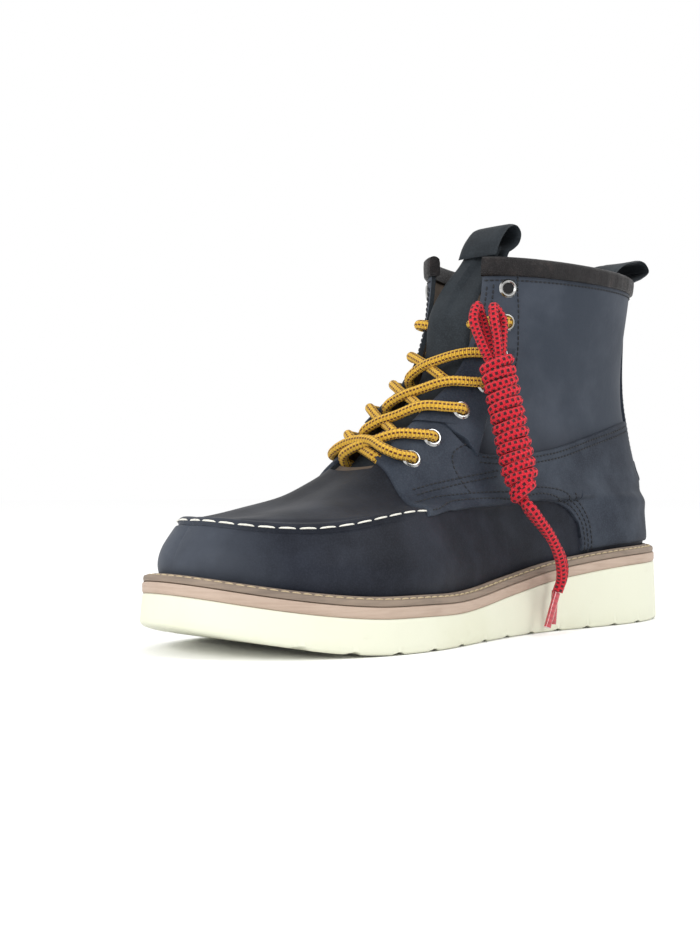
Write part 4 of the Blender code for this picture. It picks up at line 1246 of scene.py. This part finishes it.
def layer(shape, thick, borders):
    """Heights of a sheet that rolls down to the skin at the borders named."""
    rows, columns = shape
    far = np.full(shape, 9)
    for word, line in (
        ("low", np.arange(rows)[:, None]),
        ("high", np.arange(rows)[::-1][:, None]),
        ("back", np.arange(columns)[None, :]),
        ("front", np.arange(columns)[::-1][None, :]),
    ):
        if word in borders:
            far = np.minimum(far, line)
    drop = np.select([far == 0, far == 1, far == 2], [1.3, 0.32, 0.06], 0.0)
    return thick * (1 - drop)


def sheet_on_skin(name, parts, side, *nodes):
    """Joins grids of levels, turns and heights over the skin into one sheet."""
    points, faces = [], []
    for level, turn, high in parts:
        flat, normal = place(level, turn, side)
        faces += grid_faces(*level.shape, start=len(points), flip=side == LATERAL)
        points += list((flat + normal * (relief(flat, level, turn) + high)[..., None]).reshape(-1, 3))
    piece(name, points, faces, NUBUCK_SHAFT, *nodes, slot="navy_nubuck", angle=50)


for side, word in SIDES:
    throat = edge_of_throat(side)
    order = np.argsort(throat[:, 1])
    high_table, low_table = np.array(QUARTER_HIGH), np.array(QUARTER_LOW)

    def top_of(along):
        high = through(high_table[:, 0], high_table[:, 1], along) * COLLAR_HEIGHT
        limit = np.interp(along * LENGTH, throat[order, 1], throat[order, 2])
        return np.where(along * LENGTH > throat[:, 1].min(), np.minimum(high, limit), high)

    share = rolled(60, 0.010)[:, None]
    along = np.linspace(QUARTER_SEEN, QUARTER_BACK, 60)
    along = np.concatenate([np.linspace(0, 0.08, 16), along[:-1], QUARTER_BACK + np.array([-0.0012, 0.0])])
    low = welt_top(along * LENGTH) + 3.0 * MM
    z = low + (top_of(along) - low) * share
    seen = along >= QUARTER_SEEN
    level, turn = (np.empty(z.shape) for _ in range(2))
    level[:, seen], turn[:, seen] = from_side(np.tile(along[seen] * LENGTH, (len(z), 1)), z[:, seen], side)
    marks = back_marks(side)
    first = np.argmax(seen)
    for k in np.flatnonzero(~seen):
        t = along[k] / QUARTER_SEEN
        level[:, k] = np.interp(z[:, k], marks[2], marks[0]) * (1 - t) + level[:, first] * t
        turn[:, k] = np.interp(z[:, k], marks[2], marks[1]) * (1 - t) + turn[:, first] * t
    rear_high = layer(z.shape, LAYER, ("low", "high", "back"))
    cut = z[:, -1] < low_table[0, 1] * COLLAR_HEIGHT
    rear_high[cut, -1] = -0.3 * LAYER
    rear_high[cut, -2] = 0.68 * LAYER
    rear_part = (level, turn, rear_high)

    share = rolled(70, 0.012)[:, None]
    close, wide = np.linspace(QUARTER_BACK, 0.31, 44)[:-1], np.linspace(0.31, QUARTER_FRONT - 0.003, 120)
    along = np.concatenate([close, wide, QUARTER_FRONT + np.array([-0.0014, 0.0])])
    low = through(low_table[:, 0], low_table[:, 1], along) * COLLAR_HEIGHT
    z = low + (top_of(along) - low) * share
    level, turn = from_side(np.tile(along * LENGTH, (len(z), 1)), z, side)
    front_part = (level, turn, layer(z.shape, LAYER, ("low", "high", "front")))
    sheet_on_skin(f"quarter_panel_{word}", [rear_part, front_part], side, f"quarter_{word}")

    up = np.concatenate([[TAB_FOOT, 0.4665], np.linspace(0.470, 0.752, 70), [0.757, TAB_HEAD]])
    rear_table, front_table = np.array(TAB_REAR), np.array(TAB_FRONT)
    rear = np.interp(up, rear_table[:, 0], rear_table[:, 1])
    high_first = np.argsort(throat[:, 2])
    facing = np.interp(up * COLLAR_HEIGHT, throat[high_first, 2], throat[high_first, 1]) / LENGTH
    front = np.where(up < TAB_BEND, np.interp(up, front_table[:, 0], front_table[:, 1]), facing)
    share = rolled(34, 0.02)[None, :]
    y = (rear[:, None] + (front - rear)[:, None] * share) * LENGTH
    z = np.tile((up * COLLAR_HEIGHT)[:, None], (1, y.shape[1]))
    level, turn = from_side(y, z, side)
    heights = layer(z.shape, 1.0, ("low", "back", "front")) * tab_thick(z)
    heights = np.maximum(heights, -0.3 * MM) + 0.05 * MM
    sheet_on_skin(f"facing_tab_{word}", [(level, turn, heights)], side)

# %% [markdown]
# ## Backstay
#
# One strip covers the back seam from the welt to the binding. It is laid by its width, half of it on each
# side of the seam.

# %% Backstay
backstay_levels = np.concatenate([[0.085, 0.086], np.linspace(0.09, 0.945, 90), [0.949, 0.95]])
across = rolled(26, 0.03) * 2 - 1
rows = []
for level in backstay_levels:
    row = []
    for side, share in ((LATERAL, -across[across < 0]), (MEDIAL, across[across >= 0])):
        turn = turn_of_width(level, side, share * BACKSTAY_WIDE / 2, front=False)
        flat, normal = place(level, turn, side)
        row.append(np.stack([flat + normal * relief(flat, level, turn)[:, None], normal], 1))
    rows.append(np.concatenate(row))
rows = np.array(rows)
deep = np.minimum(np.arange(len(rows)), np.arange(len(rows))[::-1])[:, None]
aside = np.minimum(np.arange(len(across)), np.arange(len(across))[::-1])[None, :]
border = np.minimum(deep, aside)
thick = np.select([border == 0, border == 1, border == 2], [-0.3 * MM, 1.1 * MM, 1.5 * MM], 1.6 * MM)
points = rows[:, :, 0] + rows[:, :, 1] * (thick + 0.5 * MM * (border > 0))[..., None]
faces = grid_faces(len(rows), len(across), flip=True)
piece("back_strip", points, faces, NUBUCK_SHAFT, "backstay", slot="navy_nubuck")

# %% [markdown]
# ## Binding
#
# A strip of shiny grained leather folds over the collar's edge. Its section is a table, swept round the
# collar from one facing to the other, and a slow wave keeps its outer face from looking turned on a lathe.

# %% Collar binding
roll = (
    # level, out, up
    (0.9570, 0.10, 0.0),
    (0.9575, 1.30, 0.0),
    (0.9620, 1.75, 0.0),
    (0.9750, 1.90, 0.0),
    (0.9900, 1.90, 0.2),
    (1.0000, 1.75, 1.0),
    (1.0000, 1.10, 1.9),
    (1.0000, 0.00, 2.4),
    (1.0000, -1.20, 2.5),
    (1.0000, -2.60, 2.2),
    (1.0000, -3.70, 1.4),
    (0.9960, -4.10, 0.2),
    (0.9750, -4.10, 0.0),
    (0.9600, -3.90, 0.0),
    (0.9575, -2.30, 0.0),
)
sections = []
for side, order in ((MEDIAL, -1), (LATERAL, 1)):
    lines = []
    for level, out, up in roll:
        turn = throat_turn(1.0, side) + 0.002
        s = np.linspace(0, turn, 120)
        wave = 0.10 * np.sin(s * 90) + 0.06 * np.sin(s * 233 + 1)
        points, normal = place(level, s, side, (out + wave * (out > 1)) * MM)
        lines.append(points + np.array((0, 0, up * MM)))
    lines = np.stack(lines, 1)[::order]
    sections.append(lines if not sections else lines[1:])
sections = np.concatenate(sections)
count, size = sections.shape[:2]
faces = grid_faces(count, size, closed=True)
faces.append(list(range(size)))
faces.append(list(range((count - 1) * size, count * size))[::-1])
piece("binding_roll", sections, faces, BINDING, "collar_binding", slot="dark_binding", angle=55)

# %% [markdown]
# ## Tongue and pull loops
#
# The tongue lies under the lacing and leans back at its top. Both pull loops are straps of the same soft
# leather, folded and sewn down. All three are sheets made closed by a face, a back and a rim.

# %% Tongue
TONGUE = (
    # level, under, half, move x, move y, move z
    (0.43, 2.3, 0.42, 0.00, 0.00, 0.00),
    (0.48, 2.8, 0.60, 0.00, 0.00, 0.00),
    (0.53, 2.8, 0.64, 0.00, 0.00, 0.00),
    (0.60, 2.8, 0.64, 0.00, 0.00, 0.00),
    (0.68, 2.6, 0.60, 0.00, 0.00, 0.00),
    (0.76, 1.2, 0.45, 0.00, 0.00, 0.00),
    (0.84, -0.5, 0.40, -0.02, 0.00, 0.00),
    (0.92, 0.9, 0.38, -0.05, -0.04, 0.00),
    (1.00, 4.0, 0.34, -0.12, -0.10, 0.00),
    (1.00, 5.2, 0.33, -0.18, -0.16, 0.30),
)


def tongue_grid(columns):
    """The tongue's face as rows of points, from its table."""
    shares = np.linspace(-1, 1, columns)
    grid = []
    for level, under, half, move_x, move_y, move_z in TONGUE:
        row = []
        for share in shares:
            side = LATERAL if share <= 0 else MEDIAL
            row.append(instep(level, share * half * THROAT_GAP, side, -under * WALL))
        grid.append(np.array(row) + THROAT_GAP * np.array((move_x, move_y, move_z)))
    return np.array(grid)


def finer(grid, count):
    """The same grid with more rows, at even steps along its middle."""
    far = far_along(grid[:, grid.shape[1] // 2])
    return through(far, grid, np.linspace(0, far[-1], count))


def sheet_points(grid, thick, inward):
    """A closed sheet from a grid: its face, its back and rolled borders."""
    across_dir = np.gradient(grid, axis=1)
    along_dir = np.gradient(grid, axis=0)
    normal = np.cross(across_dir, along_dir)
    normal /= np.linalg.norm(normal, axis=-1, keepdims=True) + 1e-12
    if (normal[0, 0] * inward).sum() < 0:
        normal = -normal
    rows, columns = grid.shape[:2]
    border = np.minimum(
        np.minimum(np.arange(rows), np.arange(rows)[::-1])[:, None],
        np.minimum(np.arange(columns), np.arange(columns)[::-1])[None, :],
    )
    near = np.select([border == 0, border == 1], [0.5, 0.12], 0.0)[..., None] * thick
    return grid + normal * near, grid + normal * (thick - near)


def strap(name, grid, thick, inward, node):
    """A closed sheet of soft leather along a grid."""
    face, rear = sheet_points(grid, thick, np.array(inward, float))
    rows, columns = grid.shape[:2]
    points = np.concatenate([face.reshape(-1, 3), rear.reshape(-1, 3)])
    flip = np.dot(np.cross(grid[0, 1] - grid[0, 0], grid[1, 0] - grid[0, 0]), inward) > 0
    faces = grid_faces(rows, columns, flip=flip)
    faces += grid_faces(rows, columns, start=rows * columns, flip=not flip)
    count = rows * columns
    rim = [(0, c) for c in range(columns)] + [(r, columns - 1) for r in range(1, rows)]
    rim += [(rows - 1, c) for c in range(columns - 2, -1, -1)] + [(r, 0) for r in range(rows - 2, 0, -1)]
    index = [r * columns + c for r, c in rim]
    for a, b in zip(index, index[1:] + index[:1]):
        faces.append((a, b, b + count, a + count) if flip else (b, a, a + count, b + count))
    piece(name, points, faces, NUBUCK_SOFT, node, slot="navy_nubuck_soft", angle=70)


TONGUE_ROWS, TONGUE_COLUMNS = 120, 25
tongue = finer(tongue_grid(TONGUE_COLUMNS), TONGUE_ROWS)
ripple = np.sin(np.linspace(0, 9, TONGUE_ROWS))[:, None] * np.cos(np.linspace(-1.4, 1.4, TONGUE_COLUMNS))
tongue[..., 1] += 0.5 * MM * ripple
strap("tongue_sheet", tongue, TONGUE_THICK, (0, -1, -0.6), "tongue")

# %% Pull loops
HEEL_LOOP = (
    # back, up
    (0.085, -0.620),
    (0.110, -0.240),
    (0.200, -0.040),
    (0.500, 0.140),
    (0.840, 0.280),
    (1.000, 0.390),
    (0.900, 0.510),
    (0.480, 0.490),
    (0.100, 0.370),
    (-0.130, 0.170),
    (-0.200, -0.040),
    (-0.215, -0.500),
)
TONGUE_LOOP = (
    # rear, up
    (-0.120, -0.330),
    (-0.120, -0.050),
    (-0.070, 0.180),
    (0.020, 0.380),
    (0.170, 0.480),
    (0.290, 0.430),
    (0.320, 0.260),
    (0.240, 0.080),
    (0.140, -0.050),
    (0.125, -0.300),
)


def loop_grid(path, middle, bend):
    """A strap's face along a side-view path, bent across with the radius given."""
    columns = 17
    line = smooth_line([(0, y, z) for y, z in path], 0.7 * MM)
    x = np.linspace(-LOOP_WIDE / 2, LOOP_WIDE / 2, columns)
    grid = np.empty((len(line), columns, 3))
    grid[..., 0] = middle + x
    grid[..., 1] = line[:, 1:2] + x * x / (2 * bend)
    grid[..., 2] = line[:, 2:3]
    return grid


back_y = skin(1.0, np.array([0.0]), LATERAL)[0, 1]
path = [(back_y - rear * LOOP_WIDE, COLLAR_HEIGHT + up * LOOP_WIDE) for rear, up in HEEL_LOOP]
heel_loop = loop_grid(path, 0.0, SHAFT_HALF)
strap("heel_strap", heel_loop, LOOP_THICK, (0, -1, 0), "heel_loop")
plain = tongue_grid(7)
x, y, z = plain[-1][3]
lean = plain[-1][3] - plain[-2][3]
along = lean[1:] / np.linalg.norm(lean[1:])
path = [
    (
        y + (up * along[0] - rear * along[1]) * LOOP_WIDE,
        z + (up * along[1] + rear * along[0]) * LOOP_WIDE,
    )
    for rear, up in TONGUE_LOOP
]
edge_x, edge_y = (plain[-1][-1] - plain[-1][3])[:2]
tongue_loop = loop_grid(path, x, edge_x**2 / (2 * edge_y))
strap("tongue_strap", tongue_loop, LOOP_THICK, (0, 1, 0), "tongue_loop")

# %% [markdown]
# ## Eyelets
#
# Seven pairs of nickel rings are set in the facings, each standing square to the skin at its place, with a
# dark disc a little above the leather as painted shade for the hole, which is only a shaded opening.

# %% Eyelets
ring_profile = (
    # radius, height
    (EYELET_HOLE / 2 + 0.1 * MM, -2.2 * MM),
    (EYELET_HOLE / 2, -0.4 * MM),
    (EYELET_HOLE / 2 + 0.15 * MM, 0.5 * MM),
    (EYELET_HOLE / 2 + 0.7 * MM, 1.0 * MM),
    (EYELET_HOLE / 2 + 1.2 * MM, 0.95 * MM),
    (EYELET_OUTER / 2 - 0.5 * MM, 0.55 * MM),
    (EYELET_OUTER / 2, 0.0),
    (EYELET_OUTER / 2 - 0.1 * MM, -0.4 * MM),
)
RING_STEPS = 36


def cover(number, side):
    """How thick the leather over the shaft is at an eyelet."""
    level = EYELET_LEVELS[number]
    if number >= 5:
        return LAYER
    turn = turn_of_width(level, side, half_gap(level, side))
    return float(tab_thick(place(level, np.array([turn]), side)[0][0, 2]))


eyelet_spots = {}
for side, word in SIDES:
    points, faces, hole_shade_discs, hole_faces = [], [], [], []
    for number, level in enumerate(EYELET_LEVELS):
        turn = turn_of_width(level, side, half_gap(level, side) + EYELET_ASIDE)
        spot, normal = (v[0] for v in place(level, np.array([turn]), side))
        spot = spot + normal * cover(number, side)
        eyelet_spots[side, number] = (spot, normal)
        first = np.cross(normal, (0, 0, 1))
        first /= np.linalg.norm(first)
        second = np.cross(normal, first)
        a = np.linspace(0, 2 * math.pi, RING_STEPS, endpoint=False)
        circle = np.cos(a)[:, None] * first + np.sin(a)[:, None] * second
        start = len(points)
        for radius, height in ring_profile:
            points += list(spot + circle * radius + normal * height)
        faces += grid_faces(len(ring_profile), RING_STEPS, closed=True, start=start, flip=True)
        # Discs of painted shade that stand for the shaded openings of the holes.
        start = len(hole_shade_discs)
        hole_shade_discs += list(spot + circle * EYELET_HOLE / 2 * 1.03 + normal * 0.12 * MM)
        hole_faces.append([start + k for k in range(RING_STEPS)])
    names = [f"eyelet_{word}_{n + 1}" for n in range(len(EYELET_LEVELS))]
    piece(f"rings_{word}", points, faces, NICKEL, *names, slot="nickel", angle=35)
    # A near-black finish for the discs: painted shade where the hole would open.
    dark = Shade(f"hole_painted_shade_{word}", srgb(8, 9, 11), 0.9)
    dark.bump(dark.noise(900.0), 0.0001)
    piece(f"holes_{word}", hole_shade_discs, hole_faces, dark.material, slot="navy_nubuck")

# %% [markdown]
# ## Lace
#
# The lace starts as a bar across the lowest pair of eyelets and crosses upwards, each time coming out from
# under one facing and going into the next ring of the other from outside. Above the third row it runs
# behind the tongue.

# %% The lace
radius = LACE_THICK / 2
RING_NEAR = EYELET_ASIDE - 3.4 * MM


def into(side, number, depth):
    """A point on a ring's axis, out from the leather by depth."""
    spot, normal = eyelet_spots[side, number]
    return spot + normal * depth


def crossing(side, number):
    """From a ring's underside on one side to the next ring up on the other, by the outside."""
    low, high = EYELET_LEVELS[number], EYELET_LEVELS[number - 1]
    other = -side
    top_out = radius + cover(number - 1, other)
    over = 2.7 * MM if side == MEDIAL else 0.0
    near = half_gap(low, side)
    far = half_gap(high, other)
    return [
        into(side, number, -4.6 * MM),
        instep(low * 0.80 + high * 0.20, near + 2 * MM, side, -WALL - radius - 0.2 * MM),
        instep(low * 0.62 + high * 0.38, near * 0.72, side, -0.5 * MM + over * 0.5),
        instep(low * 0.36 + high * 0.64, near * 0.22, side, 0.4 * MM + over),
        instep(low * 0.12 + high * 0.88, far * 0.42, other, 1.0 * MM + over * 0.8),
        instep(high + 0.004, far + 1.0 * MM, other, top_out + 0.3 * MM),
        instep(high + 0.002, far + RING_NEAR, other, top_out + 0.6 * MM),
        into(other, number - 1, 0.9 * MM),
        into(other, number - 1, -2.2 * MM),
    ]


def hidden(side):
    """From the third row behind the tongue to the second row's ring on the other side."""
    low, high = EYELET_LEVELS[2], EYELET_LEVELS[1]
    other = -side
    behind = -WALL - radius - 0.6 * MM
    deeper = 0.0 if side == LATERAL else -2.0 * MM
    return [
        into(side, 2, -4.4 * MM),
        instep(low * 0.7 + high * 0.3, half_gap(low, side), side, behind - 0.6 * MM),
        instep(low * 0.35 + high * 0.65, 1.0 * MM, side, behind + deeper),
        instep(high, half_gap(high, other) - 3.4 * MM, other, -1.6 * MM),
        instep(high, half_gap(high, other) + 0.8 * MM, other, radius),
        instep(high, half_gap(high, other) + RING_NEAR, other, radius + 0.5 * MM),
        into(other, 1, 0.8 * MM),
        into(other, 1, -3.2 * MM),
    ]


def run_up(side):
    """Half the lace, from the lowest ring on one side to the second row."""
    line = []
    for number in (6, 5, 4, 3):
        line += crossing(side, number)
        side = -side
    return line + hidden(side)


lowest = EYELET_LEVELS[6]
bar_out = radius + LAYER
bar = [
    into(LATERAL, 6, -2.2 * MM),
    into(LATERAL, 6, 1.0 * MM),
    instep(lowest + 0.004, half_gap(lowest, LATERAL) + RING_NEAR, LATERAL, bar_out + 0.5 * MM),
    instep(lowest + 0.020, half_gap(lowest, LATERAL), LATERAL, bar_out + 0.3 * MM),
    instep(lowest + 0.036, THROAT_GAP * 0.2, LATERAL, radius + 1.8 * MM),
    instep(lowest + 0.036, THROAT_GAP * 0.2, MEDIAL, radius + 1.8 * MM),
    instep(lowest + 0.020, half_gap(lowest, MEDIAL), MEDIAL, bar_out + 0.3 * MM),
    instep(lowest + 0.004, half_gap(lowest, MEDIAL) + RING_NEAR, MEDIAL, bar_out + 0.5 * MM),
    into(MEDIAL, 6, 1.0 * MM),
    into(MEDIAL, 6, -2.2 * MM),
]
lace_line = run_up(LATERAL)[::-1] + bar + run_up(MEDIAL)
lace_line = smooth_line(lace_line, 0.9 * MM)
lace_nodes = ["lace_bar_7", "lace_bar_2"] + [f"lace_cross_{n}" for n in (6, 5, 4, 3)]
cord("lace", lace_line, LACE_THICK, GOLD, lace_nodes, "gold_lace")
print("lace length, m", round(length_of(lace_line), 3))

# %% [markdown]
# ## Thread
#
# Seams make a boot. White thread runs in long stitches round the moccasin seam. Dark thread runs in pairs
# round the panels, down the backstay and along the collar, in short close stitches.


# %% Seams
SEAM_STEP = 1.2 * MM


def seam_from_side(side, places, lift):
    """A line over the skin through side-view places (along, up), lifted off it."""
    table = np.array(places)
    line = smooth_line(table * (LENGTH, COLLAR_HEIGHT), SEAM_STEP)
    level, turn = from_side(line[:, 0], line[:, 1], side)
    flat, normal = place(level, turn, side)
    out = relief(flat, level, turn) + lift
    return flat + normal * out[:, None], normal


s = np.linspace(0.590, 1, 280)
halves = []
for side in (LATERAL, MEDIAL):
    flat, normal = place(0.2475, s, side)
    halves.append((flat + normal * (relief(flat, 0.2475, s) + 0.3 * MM)[:, None], normal))
moc_line = [np.concatenate([one, other[::-1][1:]]) for one, other in zip(*halves)]
stitches("moc_stitches", [moc_line], 8.6 * MM, 7.0 * MM, 0.85 * MM, 0.9 * MM, THREAD_WHITE, "navy_nubuck")


def beside(places, inset):
    """A side-view line through places, set over by inset to the right of the way that it runs."""
    line = smooth_line(np.array(places) * (LENGTH, COLLAR_HEIGHT), SEAM_STEP)
    ahead = np.gradient(line, axis=0)
    ahead /= np.linalg.norm(ahead, axis=1, keepdims=True)
    return (line + np.stack([ahead[:, 1], -ahead[:, 0]], 1) * inset) / (LENGTH, COLLAR_HEIGHT)


LOWER_SEAM = QUARTER_LOW[-2::-1] + ((0.2656, 0.215),)
UPPER_ROWS = ((0.628, 0.362), (0.590, 0.3768), (0.526, 0.3971), (0.457, 0.4151))
CURVED_ROW = ((0.5109, 0.5000), (0.5402, 0.4693), (0.5431, 0.4456), (0.5387, 0.4157), (0.5256, 0.3676))
FACING_ROW = ((0.3955, 0.955), (0.395, 0.935), (0.391, 0.839), (0.3967, 0.7156), (0.414, 0.660))
dark_lines = []
for side in (LATERAL, MEDIAL):
    on_quarter = LAYER + 0.1 * MM
    for inset in (2.3, 4.9):
        dark_lines.append(seam_from_side(side, beside(LOWER_SEAM, inset * MM), on_quarter))
    dark_lines.append(seam_from_side(side, beside(LOWER_SEAM[5:], 7.5 * MM), on_quarter))
    for inset in (0.0, 2.6):
        dark_lines.append(seam_from_side(side, beside(UPPER_ROWS, inset * MM), on_quarter))
    dark_lines.append(seam_from_side(side, CURVED_ROW, on_quarter))
    for inset in (2.2, 4.9):
        top_seam = [(along, up) for along, up in QUARTER_HIGH if 0.08 < along < 0.49]
        dark_lines.append(seam_from_side(side, beside(top_seam, inset * MM), on_quarter))
    dark_lines.append(seam_from_side(side, FACING_ROW, 0.15 * MM))
    collar_turns = np.linspace(0.10, throat_turn(0.94, side) - 0.01, 160)
    flat, normal = place(0.944, collar_turns, side)
    dark_lines.append((flat + normal * (relief(flat, 0.944, collar_turns) + 0.15 * MM)[:, None], normal))
    for lane in (2.2, 4.6):
        level = np.linspace(0.60, 0.93, 90)
        turn = np.array([turn_of_width(v, side, half_gap(v, side) + lane * MM) for v in level])
        flat, normal = place(level, turn, side)
        dark_lines.append((flat + normal * 0.15 * MM, normal))
    for lane in (2.0, 4.6):
        level = np.linspace(0.10, 0.94, 160)
        turn = np.array([turn_of_width(v, side, BACKSTAY_WIDE / 2 - lane * MM, front=False) for v in level])
        flat, normal = place(level, turn, side)
        dark_lines.append((flat + normal * (relief(flat, level, turn) + 2.15 * MM)[:, None], normal))
stitches("panel_stitches", dark_lines, 2.6 * MM, 2.0 * MM, 0.75 * MM, 0.6 * MM, THREAD, "navy_nubuck")

# %% [markdown]
# ## A plain ring
#
# A round stamp marks the outer side of the heel. Here it is a bare raised ring, laid on the leather by
# turning small steps across the form into steps of level and turn.

# %% Ring at the heel
RING_LEVEL, RING_TURN, RING_RADIUS = 0.408, 0.097, 5.4 * MM
centre = skin(RING_LEVEL, RING_TURN, LATERAL)
up_step = (skin(RING_LEVEL + NUDGE, RING_TURN, LATERAL) - centre) / NUDGE
ahead_step = (skin(RING_LEVEL, RING_TURN + NUDGE, LATERAL) - centre) / NUDGE
level_way = up_step / np.linalg.norm(up_step)
turn_way = ahead_step - level_way * ahead_step.dot(level_way)
turn_way /= np.linalg.norm(turn_way)
a = np.linspace(0, 2 * math.pi, 73)
turn_move = RING_RADIUS * np.cos(a) / ahead_step.dot(turn_way)
level_move = (RING_RADIUS * np.sin(a) - turn_move * ahead_step.dot(level_way)) / np.linalg.norm(up_step)
ring_line, ring_out = place(RING_LEVEL + level_move, RING_TURN + turn_move, LATERAL, LAYER + 0.02 * MM)
ring_line = ring_line + ring_out * relief(ring_line, RING_LEVEL, RING_TURN)[:, None]
points, faces, _ = tube(ring_line, 0.9 * MM, 8)
piece("plain_ring", points, faces, NUBUCK_SHAFT, slot="navy_nubuck", angle=60)
